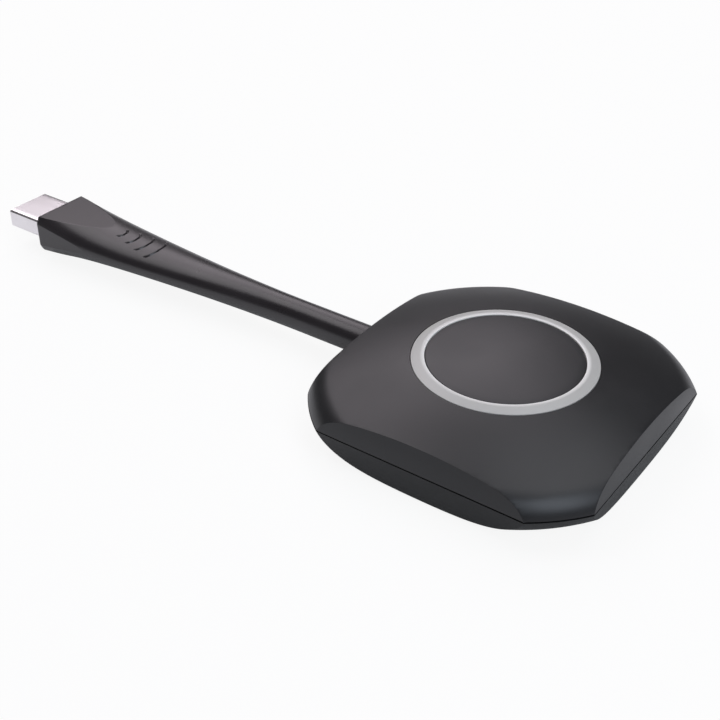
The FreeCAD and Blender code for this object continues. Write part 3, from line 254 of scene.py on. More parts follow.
# %% [markdown]
# ### Wall, shadow gap and soft edges
#
# The skin is thickened inwards, because its outside has the right size. Two moulded covers
# never close perfectly, so the upper one stands off the lower one at the outside by a fine
# step. It hides the mismatch and is the dark line round the puck. The helpers below find
# edges by where they lie, so that they still work when a size is changed.


# %% Wall, rim and edges
def give_wall(bm, direction, rim_z):
    """Thicken the skin inwards, and trim it and close it with a level rim."""
    bmesh.ops.solidify(bm, geom=bm.faces[:], thickness=WALL)
    bmesh.ops.bisect_plane(
        bm, geom=bm.verts[:] + bm.edges[:] + bm.faces[:], plane_co=UP * rim_z,
        plane_no=-UP * direction, dist=MERGE_DISTANCE, clear_outer=True
    )
    level = [face for face in bm.faces if lies_level(face, rim_z)]
    bmesh.ops.delete(bm, geom=level, context="FACES_ONLY")
    rims = [edge for edge in bm.edges if edge.is_boundary]
    bmesh.ops.bridge_loops(bm, edges=rims)
    bmesh.ops.recalc_face_normals(bm, faces=bm.faces)


def bevel_edges(bm, edges, width, segments):
    """Round or chamfer some edges."""
    bmesh.ops.bevel(
        bm, geom=edges, offset=width, offset_type="OFFSET", segments=segments, profile=0.5,
        affect="EDGES", material=-1, clamp_overlap=True
    )


def lower_rim_middle(bm, rim_z):
    """Take the middle of the rim down to the parting plane, so that its outside stands off."""
    level = [face for face in bm.faces if lies_level(face, rim_z)]
    bmesh.ops.inset_region(bm, faces=level, thickness=SEAM_DEPTH, use_even_offset=True)
    made = bmesh.ops.extrude_face_region(bm, geom=level)
    moved = [item for item in made["geom"] if isinstance(item, bmesh.types.BMVert)]
    bmesh.ops.translate(bm, vec=UP * (PARTING_Z - rim_z), verts=moved)
    kept = [face for face in level if face.is_valid]
    bmesh.ops.delete(bm, geom=kept, context="FACES")


def facet_edges(bm, lean, rim_z):
    """Edges between a facet and the turned surface outside the cover."""
    found = []
    for edge in bm.edges:
        if len(edge.link_faces) == 2 and edge.calc_face_angle() > SHARP_ANGLE / 2:
            middle = (edge.verts[0].co + edge.verts[1].co) / 2
            reach = max(abs(middle.x), abs(middle.y))
            side = HALF_FLATS - abs(middle.z - PARTING_Z) * math.tan(lean)
            if abs(reach - side) < TOUCH and not lies_level(edge, rim_z):
                found.append(edge)
    return found


def seam_edges(bm, rim_z):
    """Edges at the outside of the rim."""
    found = []
    for edge in bm.edges:
        if lies_level(edge, rim_z) and len(edge.link_faces) == 2:
            outside = [face for face in edge.link_faces if not lies_level(face, rim_z)]
            middle = (edge.verts[0].co + edge.verts[1].co) / 2
            if len(outside) == 1 and outside[0].normal.dot(middle - UP * middle.z) > 0:
                found.append(edge)
    return found


# %% [markdown]
# ### The upper cover
#
# It has a round opening for the ring and button, whose wall goes down to the ring's seat.


# %% The top cover
def make_top_cover():
    centre = edge_arc_centre()
    opening = RING_OUTER + RING_GAP
    dome_z = DOME_TOP_Z - DOME_RADIUS
    opening_angle = math.asin(opening / DOME_RADIUS)
    tangent_angle = math.atan2(centre[0], centre[1] - dome_z)
    rim_angle = math.acos((PARTING_Z - centre[1]) / EDGE_RADIUS)
    bm = bmesh.new()
    last = bm.verts.new((opening, 0, RING_SEAT_Z))
    last = straight_to(bm, last, opening, dome_height(opening))
    last = arc_to(bm, last, (0, dome_z), tangent_angle - opening_angle, DOME_STEPS)
    arc_to(bm, last, centre, rim_angle - tangent_angle, EDGE_STEPS)
    turn_outline(bm, TURN_STEPS)
    rim_z = PARTING_Z + SEAM_GAP
    cut_facets(bm, UPPER_LEAN, 1)
    give_wall(bm, 1, rim_z)
    bevel_edges(bm, facet_edges(bm, UPPER_LEAN, rim_z), FACET_EDGE, FACET_EDGE_SEGMENTS)
    lower_rim_middle(bm, rim_z)
    bevel_edges(bm, seam_edges(bm, rim_z), SEAM_CHAMFER, segments=1)
    return make_piece(bm, "top_cover", "body", ["top_shell"])


top_cover = make_top_cover()

# %% [markdown]
# ### The lower cover
#
# The dish has a shallow round recess underneath, in which the foot pad sits.


# %% The bottom cover
def make_bottom_cover():
    centre_z = BASE_Z + BASE_ARC_RADIUS
    drop = centre_z - PARTING_Z
    centre_r = CORNER_RADIUS - math.sqrt(BASE_ARC_RADIUS**2 - drop**2)
    recess = PAD_RADIUS + PAD_GAP
    bm = bmesh.new()
    last = bm.verts.new((0, 0, PAD_TOP_Z))
    last = straight_to(bm, last, recess, PAD_TOP_Z)
    last = straight_to(bm, last, recess, BASE_Z)
    last = straight_to(bm, last, centre_r, BASE_Z)
    arc_to(bm, last, (centre_r, centre_z), -math.acos(drop / BASE_ARC_RADIUS), EDGE_STEPS)
    turn_outline(bm, TURN_STEPS)
    cut_facets(bm, LOWER_LEAN, -1)
    give_wall(bm, -1, PARTING_Z)
    bevel_edges(bm, facet_edges(bm, LOWER_LEAN, PARTING_Z), FACET_EDGE, FACET_EDGE_SEGMENTS)
    bevel_edges(bm, seam_edges(bm, PARTING_Z), SEAM_CHAMFER, segments=1)
    return make_piece(bm, "bottom_cover", "body", ["bottom_shell"])


bottom_cover = make_bottom_cover()

# %% [markdown]
# ## The light ring
#
# A light guide is moulded in milky polycarbonate. Its flange hides under the cover. Only the
# crown shows: it slopes with the dome, has a low crest, and falls off from there to the
# button. A torus would be quicker, but it has no flat slope and no crest to catch the light.

# %% The light ring
RING_INNER = 16.0 * MM
RING_FLANGE_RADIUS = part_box("light_ring")[1][0]
RING_BOTTOM_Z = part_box("light_ring")[0][2]
RING_LIP = 0.12 * MM
RING_SLOPE_WIDTH = 0.9 * MM
RING_SLOPE_DROP = 0.06 * MM
RING_OVERHANG = 0.1 * MM
RING_CREST = 0.8 * MM
RING_EDGE = 0.12 * MM
RING_STEPS = 192


def make_light_ring():
    rim = RING_INNER - RING_OVERHANG
    crest = rim + RING_SLOPE_WIDTH
    crest_z = dome_height(RING_INNER) + RING_LIP
    rim_z = crest_z - RING_SLOPE_DROP
    bm = bmesh.new()
    first = bm.verts.new((RING_INNER, 0, RING_BOTTOM_Z))
    last = straight_to(bm, first, RING_FLANGE_RADIUS, RING_BOTTOM_Z)
    last = straight_to(bm, last, RING_FLANGE_RADIUS, RING_SEAT_Z)
    last = straight_to(bm, last, RING_OUTER, RING_SEAT_Z)
    shoulder = (RING_OUTER, dome_height(RING_OUTER))
    last = round_corner(bm, last, shoulder, (crest, crest_z), RING_EDGE)
    last = round_corner(bm, last, (crest, crest_z), (rim, rim_z), RING_CREST)
    last = round_corner(bm, last, (rim, rim_z), (rim, RING_BOTTOM_Z), RING_EDGE)
    last = straight_to(bm, last, rim, rim_z - RING_SLOPE_WIDTH)
    last = straight_to(bm, last, RING_INNER, rim_z - RING_SLOPE_WIDTH)
    bm.edges.new((last, first))
    turn_outline(bm, RING_STEPS)
    return make_piece(bm, "light_guide_ring", "body", ["light_ring"])


light_ring = make_light_ring()

# %% [markdown]
# ## The button
#
# The whole disc inside the ring is one push button. It is gently crowned, its rim is rounded,
# and a flange under the ring stops it from falling out. A post in its middle presses the
# switch. It rides on its own body, so that it moves when the joint does.

# %% The button
BUTTON_GAP = 0.25 * MM
BUTTON_DROP = 0.15 * MM
BUTTON_CROWN_RADIUS = 150.0 * MM
BUTTON_EDGE = 0.12 * MM
BUTTON_PLATE = 1.5 * MM
BUTTON_SKIRT = 1.4 * MM
BUTTON_FLANGE = 1.0 * MM
BUTTON_FLANGE_GAP = 0.1 * MM
BUTTON_POST_RADIUS = 2.4 * MM
CROWN_STEPS = 12


def make_button():
    radius = RING_INNER - BUTTON_GAP
    edge_z = dome_height(RING_INNER) + RING_LIP - BUTTON_DROP
    sphere_z = edge_z - math.sqrt(BUTTON_CROWN_RADIUS**2 - radius**2)
    flange_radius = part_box("button_cap")[1][0]
    skirt_radius = radius - BUTTON_SKIRT
    plate_z = edge_z - BUTTON_PLATE
    post_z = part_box("switch_plunger")[1][2]
    flange_z = RING_BOTTOM_Z - BUTTON_FLANGE_GAP - BUTTON_FLANGE
    bm = bmesh.new()
    last = bm.verts.new((0, 0, post_z))
    last = straight_to(bm, last, BUTTON_POST_RADIUS, post_z)
    last = straight_to(bm, last, BUTTON_POST_RADIUS, plate_z)
    last = straight_to(bm, last, skirt_radius, plate_z)
    last = straight_to(bm, last, skirt_radius, flange_z)
    last = straight_to(bm, last, flange_radius, flange_z)
    last = straight_to(bm, last, flange_radius, flange_z + BUTTON_FLANGE)
    last = straight_to(bm, last, radius, flange_z + BUTTON_FLANGE)
    slope_end = (0, edge_z + radius * radius / BUTTON_CROWN_RADIUS)
    last = round_corner(bm, last, (radius, edge_z), slope_end, BUTTON_EDGE)
    crown_angle = math.atan2(last.co.x, last.co.z - sphere_z)
    arc_to(bm, last, (0, sphere_z), -crown_angle, CROWN_STEPS)
    turn_outline(bm, RING_STEPS)
    return make_piece(bm, "push_button", "button", ["button_cap"])


push_button = make_button()

# %% [markdown]
# ## The foot pad
#
# A die-cut silicone disc keeps the puck from sliding and hides the screws. A plain cylinder
# would have a knife edge where it meets the table, so its lower edge is slightly rounded.

# %% The foot pad
PAD_EDGE = 0.3 * MM


def make_foot_pad():
    bm = bmesh.new()
    last = bm.verts.new((0, 0, 0))
    last = round_corner(bm, last, (PAD_RADIUS, 0), (PAD_RADIUS, PAD_TOP_Z), PAD_EDGE)
    last = straight_to(bm, last, PAD_RADIUS, PAD_TOP_Z)
    straight_to(bm, last, 0, PAD_TOP_Z)
    turn_outline(bm, RING_STEPS)
    return make_piece(bm, "anti_slip_pad", "body", ["foot_pad"])


foot_pad = make_foot_pad()

# %% [markdown]
# ## The tail
#
# The tail is one soft moulding. It is a round form that widens from the cable to the plug, and
# four flats cut it down to a grip with crisp edges. As the round form shrinks, the flats run
# out in points and leave a smooth taper. A subdivided cage could give the taper, but would
# soften the edges of the flats. So a ring of vertices is extruded from station to station,
# and each ring is put on its outline.
#
# The height of the round form falls off with a high power of the way to the neck, and its
# width with a smooth swell, so that the grip is flat and broad. The corners have more points
# on the upper side, where the grooves are. The shares place the points on each flat.

# %% Values of the tail
TAIL_RADIUS = 3.45 * MM
GRIP_FRONT_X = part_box("tail_sleeve")[0][0]
GRIP_HALF_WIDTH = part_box("tail_sleeve")[1][1]
GRIP_TOP = 4.55 * MM
GRIP_BOTTOM = 4.6 * MM
FORM_HALF_WIDTH = 8.45 * MM
FORM_HALF_HEIGHT = 8.3 * MM
FORM_FALL = 5.5
NECK_X = -48.0 * MM
COLLAR_HALF_WIDTH = 6.0 * MM
COLLAR_HALF_HEIGHT = 4.2 * MM
COLLAR_THICKNESS = 2.6 * MM
COLLAR_CORNER = 1.5 * MM
COLLAR_BACK_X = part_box("tail_sleeve")[1][0]
CORNER_POINTS = (56, 56, 20, 20)
FLAT_SHARES = (0.03, 0.2, 0.4, 0.6, 0.8, 0.97)
print("Grip:", round(2 * GRIP_HALF_WIDTH / MM, 2), "mm wide and",
      round((GRIP_TOP + GRIP_BOTTOM) / MM, 2), "mm high")

# %% [markdown]
# ### Outlines
#
# Every outline has the same number of points in the same order, so that the rings join
# without a twist. A corner of the grip is what the flats leave of an ellipse, from the angle
# at which the side cuts it to the angle at which the top does.


# %% Outlines of the tail
def flat_between(first, second):
    """Points along a flat, with one close to each end, so that its edges shade crisply."""
    return [first.lerp(second, share) for share in FLAT_SHARES]


def around(corner_point):
    """Whole outline: four corners, each as steps over a quarter turn, and the flats between."""
    corners = []
    for corner, count in enumerate(CORNER_POINTS):
        corners.append([corner_point(corner, step / count) for step in range(count + 1)])
    points = []
    for corner, following in zip(corners, corners[1:] + corners[:1]):
        points += corner + flat_between(corner[-1], following[0])
    return points


def in_quarter(corner, share, start, end):
    """Angle in a quarter turn. Odd corners run from the upright end of it to the level one."""
    if corner % 2:
        share = 1 - share
    return start + (end - start) * share


def mirrored(corner, y, z):
    """Point of the first corner, mirrored into another."""
    return Vector((y if corner in (0, 3) else -y, z if corner < 2 else -z))


def form_size(x):
    """Half width and half height of the round form at a place along the tail."""
    share = max(0, (NECK_X - x) / (NECK_X - GRIP_FRONT_X))
    swell = share**2 * (3 - 2 * share)
    half_width = TAIL_RADIUS + (FORM_HALF_WIDTH - TAIL_RADIUS) * swell
    half_height = TAIL_RADIUS + (FORM_HALF_HEIGHT - TAIL_RADIUS) * share**FORM_FALL
    return half_width, half_height


def outline_at(x, inset=0):
    """Outline of the tail: the round form, cut down by its four flats."""
    half_width, half_height = (size - inset for size in form_size(x))
    start = math.acos(min(1, (GRIP_HALF_WIDTH - inset) / half_width))

    def corner_point(corner, share):
        reach = (GRIP_TOP if corner < 2 else GRIP_BOTTOM) - inset
        end = math.asin(min(1, reach / half_height))
        angle = in_quarter(corner, share, start, end)
        return mirrored(corner, half_width * math.cos(angle), half_height * math.sin(angle))
    return around(corner_point)


def collar_outline():
    """Outline of the collar inside the body: a rounded rectangle."""
    def corner_point(corner, share):
        angle = in_quarter(corner, share, 0, math.pi / 2)
        y = COLLAR_HALF_WIDTH - COLLAR_CORNER * (1 - math.cos(angle))
        z = COLLAR_HALF_HEIGHT - COLLAR_CORNER * (1 - math.sin(angle))
        return mirrored(corner, y, z)
    return around(corner_point)


# %% [markdown]
# ### Finger grooves
#
# Four crescents on top of the swell let the fingers hold the plug. Each is half an ellipse
# that bulges to the body and is wider than the one before it. They could be cut with curved
# solids, but that leaves sharp walls. Here their depth is worked out for each vertex, which
# gives a groove a round bottom and ends that run out softly.

# %% Finger grooves
GROOVE_COUNT = 4
GROOVE_FIRST_X = -104.4 * MM
GROOVE_PITCH = 3.85 * MM
GROOVE_FIRST_HALF = 1.7 * MM
GROOVE_HALF_STEP = 0.72 * MM
GROOVE_FIRST_SAG = 1.2 * MM
GROOVE_SAG_STEP = 0.33 * MM
GROOVE_MIDDLE_Y = -0.6 * MM
GROOVE_WIDTH = 0.5 * MM
GROOVE_DEPTH = 0.4 * MM
GROOVE_END = 0.45
GROOVE_STATION = 0.12 * MM


def groove_depth(x, y):
    """How deep the grooves are at a point seen from above: half ellipses that bulge to the body."""
    depth = 0
    for number in range(GROOVE_COUNT):
        half = GROOVE_FIRST_HALF + GROOVE_HALF_STEP * number
        sag = GROOVE_FIRST_SAG + GROOVE_SAG_STEP * number
        u = x - (GROOVE_FIRST_X + GROOVE_PITCH * number - sag)
        v = y - GROOVE_MIDDLE_Y
        size = math.hypot(u / sag, v / half)
        if u < 0 or size == 0:
            continue
        slope = math.hypot(u / sag**2, v / half**2) / size
        away = abs(size - 1) / slope / (GROOVE_WIDTH / 2)
        ending = min(1, u / sag / GROOVE_END)
        depth = max(depth, GROOVE_DEPTH * ending * max(0, 1 - away**2))
    return depth


groove_widths = [2 * (GROOVE_FIRST_HALF + GROOVE_HALF_STEP * i) / MM for i in range(GROOVE_COUNT)]
print("Grooves:", [round(width, 2) for width in groove_widths], "mm wide")

# %% [markdown]
# ### Stations
#
# Vertices are spent where the form needs them: close together in the grooves, further apart
# in the taper, and far apart along the round cable end.

# %% Stations of the tail
GRIP_RIM = 0.3 * MM
GRIP_RIM_STEPS = 4
GRIP_STATION = 0.5 * MM
TAPER_STATION = 1.2 * MM
CABLE_STATION = 3.0 * MM


def stations():
    """Places along the tail, close together where the grooves are."""
    groove_start = GROOVE_FIRST_X - GROOVE_FIRST_SAG - 2 * GROOVE_WIDTH
    groove_end = GROOVE_FIRST_X + GROOVE_PITCH * (GROOVE_COUNT - 1) + GROOVE_WIDTH
    collar_front = COLLAR_BACK_X - COLLAR_THICKNESS
    stretches = [
        (GRIP_FRONT_X + GRIP_RIM, groove_start, GRIP_STATION),
        (groove_start, groove_end, GROOVE_STATION),
        (groove_end, NECK_X, TAPER_STATION),
        (NECK_X, collar_front, CABLE_STATION)
    ]
    places = []
    for start, end, step in stretches:
        count = max(1, round((end - start) / step))
        places += [start + (end - start) * i / count for i in range(count)]
    return places + [collar_front]


def place_ring(ring, x, outline):
    """Put a ring of vertices on an outline, and press the grooves in from above."""
    for vertex, point in zip(ring, outline):
        depth = groove_depth(x, point.x) if point.y > 0 else 0
        vertex.co = (x, point.x, PARTING_Z + point.y - depth)


def next_ring(bm, ring, x, outline):
    """Extrude the last ring and put the new one on its outline."""
    edges = [bm.edges.get(pair) for pair in zip(ring, ring[1:] + ring[:1])]
    made = bmesh.ops.extrude_edge_only(bm, edges=edges)
    new = {item for item in made["geom"] if isinstance(item, bmesh.types.BMVert)}
    follow = []
    for vertex in ring:
        across = [edge.other_vert(vertex) for edge in vertex.link_edges]
        follow.append([other for other in across if other in new][0])
    place_ring(follow, x, outline)
    return follow


print("Tail:", len(stations()), "stations")

# %% [markdown]
# ### The tail itself
#
# The front of the grip has a small round rim, made of a few rings that grow round a quarter
# turn. The other end widens into a collar inside the body, which holds the cable against a
# pull.


# %% The tail itself
def make_tail():
    bm = bmesh.new()
    outline = outline_at(GRIP_FRONT_X, GRIP_RIM)
    made = bmesh.ops.create_circle(bm, radius=TAIL_RADIUS, segments=len(outline))
    ring = made["verts"]
    place_ring(ring, GRIP_FRONT_X, outline)
    front = list(ring)
    for step in range(1, GRIP_RIM_STEPS):
        angle = step / GRIP_RIM_STEPS * FULL_TURN / 4
        x = GRIP_FRONT_X + GRIP_RIM * (1 - math.cos(angle))
        ring = next_ring(bm, ring, x, outline_at(x, GRIP_RIM * (1 - math.sin(angle))))
    for x in stations():
        ring = next_ring(bm, ring, x, outline_at(x))
    ring = next_ring(bm, ring, COLLAR_BACK_X - COLLAR_THICKNESS, collar_outline())
    ring = next_ring(bm, ring, COLLAR_BACK_X, collar_outline())
    bmesh.ops.contextual_create(bm, geom=ring)
    bmesh.ops.contextual_create(bm, geom=front)
    bmesh.ops.remove_doubles(bm, verts=bm.verts, dist=MERGE_DISTANCE)
    bmesh.ops.recalc_face_normals(bm, faces=bm.faces)
    return make_piece(bm, "soft_tail", "body", ["tail_sleeve"])


soft_tail = make_tail()

# %% [markdown]
# ## The plug's metal shell
#
# The shell is pressed from thin steel sheet and folded into a flat tube. A scaled cube with
# its four long edges bevelled is that tube. Its two ends are taken off, two latch windows
# are cut in the underside, and a solidify gives the sheet its thickness. Cutting the windows
# before the solidify is easier than a boolean afterwards, and gives them clean edges.

# %% The plug's shell
SHEET = 0.3 * MM
SHELL_CORNER = 0.6 * MM
SHELL_CORNER_SEGMENTS = 6
WINDOW_FROM_TIP = 5.2 * MM
WINDOW_LENGTH = 2.2 * MM
WINDOW_WIDTH = 2.5 * MM
WINDOW_Y = 3.0 * MM


def cut_across(bm, axis, place):
    """Cut the whole mesh with a plane across one axis, and keep both sides."""
    bmesh.ops.bisect_plane(
        bm, geom=bm.verts[:] + bm.edges[:] + bm.faces[:], plane_co=axis * place, plane_no=axis
    )


def make_plug_shell():
    low, high = (Vector(corner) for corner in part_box("usb_shell"))
    size = high - low
    bm = bmesh.new()
    bmesh.ops.create_cube(bm, size=1)
    bmesh.ops.scale(bm, vec=size, verts=bm.verts)
    bmesh.ops.translate(bm, vec=(low + high) / 2, verts=bm.verts)
    long_edges = [e for e in bm.edges if abs(e.verts[0].co.x - e.verts[1].co.x) > size.x / 2]
    bevel_edges(bm, long_edges, SHELL_CORNER, SHELL_CORNER_SEGMENTS)
    ends = [face for face in bm.faces if round(abs(face.normal.x)) == 1]
    bmesh.ops.delete(bm, geom=ends, context="FACES_ONLY")
    window_start = low.x + WINDOW_FROM_TIP
    for place in (window_start, window_start + WINDOW_LENGTH):
        cut_across(bm, Vector((1, 0, 0)), place)
    for side in (-1, 1):
        for place in (WINDOW_Y - WINDOW_WIDTH / 2, WINDOW_Y + WINDOW_WIDTH / 2):
            cut_across(bm, Vector((0, 1, 0)), side * place)
    windows = []
    for face in bm.faces:
        middle = face.calc_center_median()
        in_length = window_start < middle.x < window_start + WINDOW_LENGTH
        in_width = abs(abs(middle.y) - WINDOW_Y) < WINDOW_WIDTH / 2
        if in_length and in_width and middle.z < PARTING_Z:
            windows.append(face)
    bmesh.ops.delete(bm, geom=windows, context="FACES")
    bmesh.ops.solidify(bm, geom=bm.faces[:], thickness=SHEET)
    bmesh.ops.recalc_face_normals(bm, faces=bm.faces)
    return make_piece(bm, "plug_shell", "body", ["usb_shell"])


plug_shell = make_plug_shell()

# %% [markdown]
# ## Finishes
#
# Every finish is a small tree of nodes on Object coordinates, so that its patterns stay on
# the piece when it moves. Painted pictures would need an unwrapped surface and would blur up
# close. One function turns an sRGB hex colour into the linear one that shaders want, and one
# adds a node with its settings and links.
#
# Mix and Math nodes have several sockets under one name, so these are called by number. In
# the Mix node, the ones for colours come after those for numbers and vectors. Nearly all
# values of a noise lie between 0.3 and 0.7, so that is the range that gets spread out.


# %% Colour and node helpers
MIX_FACTOR, MIX_FIRST, MIX_SECOND, MIX_RESULT = 0, 6, 7, 2
NOISE_LOW, NOISE_HIGH = 0.3, 0.7


def linear(hex_colour):
    """An sRGB colour written as hex, as linear red, green, blue and alpha."""
    parts = [int(hex_colour[i:i + 2], 16) / 255 for i in (1, 3, 5)]
    return [c / 12.92 if c <= 0.04045 else ((c + 0.055) / 1.055) ** 2.4 for c in parts] + [1]


def add_node(tree, kind, settings=None, **inputs):
    """Add one node. Settings are its own, and inputs are values or other nodes' outputs."""
    node = tree.nodes.new(kind)
    for name, value in (settings or {}).items():
        setattr(node, name, value)
    for name, value in inputs.items():
        socket = node.inputs[name.replace("_", " ")]
        if isinstance(value, bpy.types.NodeSocket):
            tree.links.new(value, socket)
        else:
            socket.default_value = value
    return node


def new_material(name):
    """An empty material with its output, its shader and Object coordinates."""
    material = bpy.data.materials.new(name)
    material.use_nodes = True
    tree = material.node_tree
    tree.nodes.clear()
    shader = add_node(tree, "ShaderNodeBsdfPrincipled")
    add_node(tree, "ShaderNodeOutputMaterial", Surface=shader.outputs["BSDF"])
    place = add_node(tree, "ShaderNodeTexCoord").outputs["Object"]
    return material, tree, shader, place


def grain(tree, place, size, detail=2.0):
    """Noise whose lumps are about as large as the size given."""
    return add_node(tree, "ShaderNodeTexNoise", Vector=place, Scale=1 / size, Detail=detail)


def between(tree, value, low, high):
    """Spread a noise over a range of values."""
    spread = add_node(tree, "ShaderNodeMapRange", Value=value, From_Min=NOISE_LOW,
                      From_Max=NOISE_HIGH, To_Min=low, To_Max=high)
    return spread.outputs["Result"]


def mixed_colour(tree, factor, first, second):
    """Colour that goes from one hex colour to another."""
    mix = add_node(tree, "ShaderNodeMix", {"data_type": "RGBA"})
    tree.links.new(factor, mix.inputs[MIX_FACTOR])
    mix.inputs[MIX_FIRST].default_value = linear(first)
    mix.inputs[MIX_SECOND].default_value = linear(second)
    return mix.outputs[MIX_RESULT]


# %% [markdown]
# ### Moulded plastics
#
# Moulded plastics share a build: the base colour drifts a little over centimetres, as it does
# with the flow of the melt, roughness drifts with it, and a fine bump is the grain that
# spark erosion leaves in the mould. A real grain is about 0.05 mm wide, a quarter of a pixel
# in this picture, so it is drawn several times as coarse, and shallow.
#
# Each finish names its two colours, the range of its roughness, the width and depth of its
# grain, and its index of refraction where that isn't 1.5.


# %% Moulded plastics
def moulded(name, colours, roughness, grain_size, grain_depth, ior=1.5, drift=12 * MM):
    """Plastic or rubber from a grained mould."""
    material, tree, shader, place = new_material(name)
    flow = grain(tree, place, drift).outputs["Fac"]
    lumps = grain(tree, place, grain_size, detail=3.0).outputs["Fac"]
    bump = add_node(tree, "ShaderNodeBump", Strength=1.0, Distance=grain_depth, Height=lumps)
    colour = mixed_colour(tree, between(tree, flow, 0, 1), *colours)
    tree.links.new(colour, shader.inputs["Base Color"])
    tree.links.new(between(tree, flow, *roughness), shader.inputs["Roughness"])
    tree.links.new(bump.outputs["Normal"], shader.inputs["Normal"])
    shader.inputs["IOR"].default_value = ior
    return material


finishes = {}
# Black ABS with a fine spark-eroded grain: satin, with soft broad highlights.
finishes["cover_plastic"] = moulded(
    "black_abs_spark_grain", ("#1c1c1e", "#1f1f21"), (0.34, 0.4), 0.35 * MM, 0.006 * MM, 1.49)
# The same ABS from a coarser mould, so duller. Its colour is darker than the dome's: painted shade
# on the lower cover, which faces the floor and its shadow.
finishes["base_plastic"] = moulded(
    "black_abs_spark_grain_base_painted_shade", ("#131314", "#161617"), (0.54, 0.6), 0.35 * MM, 0.006 * MM, 1.47)
# The same ABS with more grey pigment: the button is a shade lighter than the cover.
finishes["button_plastic"] = moulded(
    "black_abs_fine_grain_button", ("#232325", "#262628"), (0.36, 0.42), 0.3 * MM, 0.005 * MM, 1.49)
# Black thermoplastic elastomer: warmer than the hard cover, and smooth, with a clear sheen.
finishes["tail_elastomer"] = moulded(
    "black_tpe_soft_tail", ("#242023", "#282427"), (0.27, 0.33), 0.4 * MM, 0.004 * MM, 1.58)
# Black silicone rubber: dull, with a dusty grain.
finishes["pad_rubber"] = moulded(
    "black_silicone_rubber", ("#1b1b1c", "#222223"), (0.75, 0.85), 0.4 * MM, 0.02 * MM, 1.43)


# %% [markdown]
# ### The ring's milky polycarbonate
#
# The ring is polycarbonate with a white diffuser in it. Light goes about half a millimetre
# into it, which softens its shading, and its skin is satin. Towards its inner edge its colour
# is paler: a painted highlight, for the inner slope that catches the light. A plain white
# would do from afar, but only light under the skin makes the edges look soft.


# %% Milky polycarbonate
# The ring's own colour, and a paler one that is painted in as the highlight along its inner edge.
RING_BODY_COLOUR = "#bbbab7"
RING_PAINTED_HIGHLIGHT_COLOUR = "#f1f0ed"
FROST_WIDTH = 0.25 * MM
FROST_DEPTH = 0.003 * MM


def milky_polycarbonate():
    material, tree, shader, place = new_material("milky_polycarbonate")
    level = add_node(tree, "ShaderNodeMapping", Vector=place, Scale=(1, 1, 0)).outputs["Vector"]
    radius = add_node(tree, "ShaderNodeVectorMath", {"operation": "LENGTH"})
    tree.links.new(level, radius.inputs[0])
    rim = RING_INNER - RING_OVERHANG
    # Painted highlight: the colour grows paler towards the inner edge, where the crown's inner
    # slope catches the light.
    painted_highlight = add_node(tree, "ShaderNodeMapRange", Value=radius.outputs["Value"], From_Min=rim,
                        From_Max=rim + RING_SLOPE_WIDTH, To_Min=1, To_Max=0).outputs["Result"]
    colour = mixed_colour(tree, painted_highlight, RING_BODY_COLOUR, RING_PAINTED_HIGHLIGHT_COLOUR)
    tree.links.new(colour, shader.inputs["Base Color"])
    frost = grain(tree, place, FROST_WIDTH).outputs["Fac"]
    bump = add_node(tree, "ShaderNodeBump", Strength=1.0, Distance=FROST_DEPTH, Height=frost)
    tree.links.new(bump.outputs["Normal"], shader.inputs["Normal"])
    shader.inputs["Roughness"].default_value = 0.4
    shader.inputs["IOR"].default_value = 1.58
    shader.inputs["Subsurface Weight"].default_value = 0.15
    shader.inputs["Subsurface Radius"].default_value = (1.0, 1.0, 1.0)
    shader.inputs["Subsurface Scale"].default_value = 0.5 * MM
    return material


finishes["ring_polycarbonate"] = milky_polycarbonate()


# %% [markdown]
# ### Metals
#
# Sheet metal shows the direction in which it was rolled: long fine streaks, drawn here by
# stretching a noise along the sheet. They are drawn 0.15 mm wide and 8 mm long, which is
# coarser than real ones, so that they show. A metal keeps the default index of refraction,
# because its base colour already says how much it mirrors.


# %% Metals
STREAK_LENGTH = 8 * MM
STREAK_WIDTH = 0.15 * MM
STREAK_DEPTH = 0.0006 * MM
TARNISH_SIZE = 4 * MM


def sheet_metal(name, colours, roughness):
    """Rolled or plated sheet with streaks along X."""
    material, tree, shader, place = new_material(name)
    stretch = add_node(tree, "ShaderNodeMapping", Vector=place,
                       Scale=(STREAK_WIDTH / STREAK_LENGTH, 1, 1)).outputs["Vector"]
    streaks = grain(tree, stretch, STREAK_WIDTH).outputs["Fac"]
    tarnish = grain(tree, place, TARNISH_SIZE).outputs["Fac"]
    bump = add_node(tree, "ShaderNodeBump", Strength=1.0, Distance=STREAK_DEPTH, Height=streaks)
    colour = mixed_colour(tree, between(tree, tarnish, 0, 1), *colours)
    tree.links.new(colour, shader.inputs["Base Color"])
    tree.links.new(between(tree, streaks, *roughness), shader.inputs["Roughness"])
    tree.links.new(bump.outputs["Normal"], shader.inputs["Normal"])
    shader.inputs["Metallic"].default_value = 1.0
    return material


# Nickel-plated steel: bright and nearly white, with a soft mirror.
finishes["plug_steel"] = sheet_metal("nickel_plated_steel", ("#e8e5e7", "#eeebed"), (0.18, 0.26))
# Tin plate: the shield's pale grey, with a duller mirror than nickel.
finishes["tin_plate"] = sheet_metal("tin_plate", ("#c8c8c6", "#d2d2d0"), (0.3, 0.42))
# Bare spring steel: darker, as a snap dome is.
finishes["spring_steel"] = sheet_metal("spring_steel", ("#b8b8b6", "#c2c2c0"), (0.25, 0.35))
# Zinc plating: a bluish satin grey.
finishes["screw_steel"] = sheet_metal("zinc_plated_screw_steel", ("#a8aaac", "#b6b8ba"), (0.3, 0.4))
# Gold over brass: a pale yellow.
finishes["socket_brass"] = sheet_metal("gold_plated_brass", ("#d4b060", "#dcbc70"), (0.25, 0.35))
# Gold flash on contacts: a warmer yellow on a smoother sheet.
finishes["contact_gold"] = sheet_metal("gold_flash_contact", ("#dcb45a", "#e4c06a"), (0.15, 0.25))
# Tinned copper braid: reddish metal under tin, with a gloss that many thin wires blur.
finishes["braid_copper"] = sheet_metal("tinned_copper_braid", ("#b89a80", "#c8b0a0"), (0.4, 0.5))

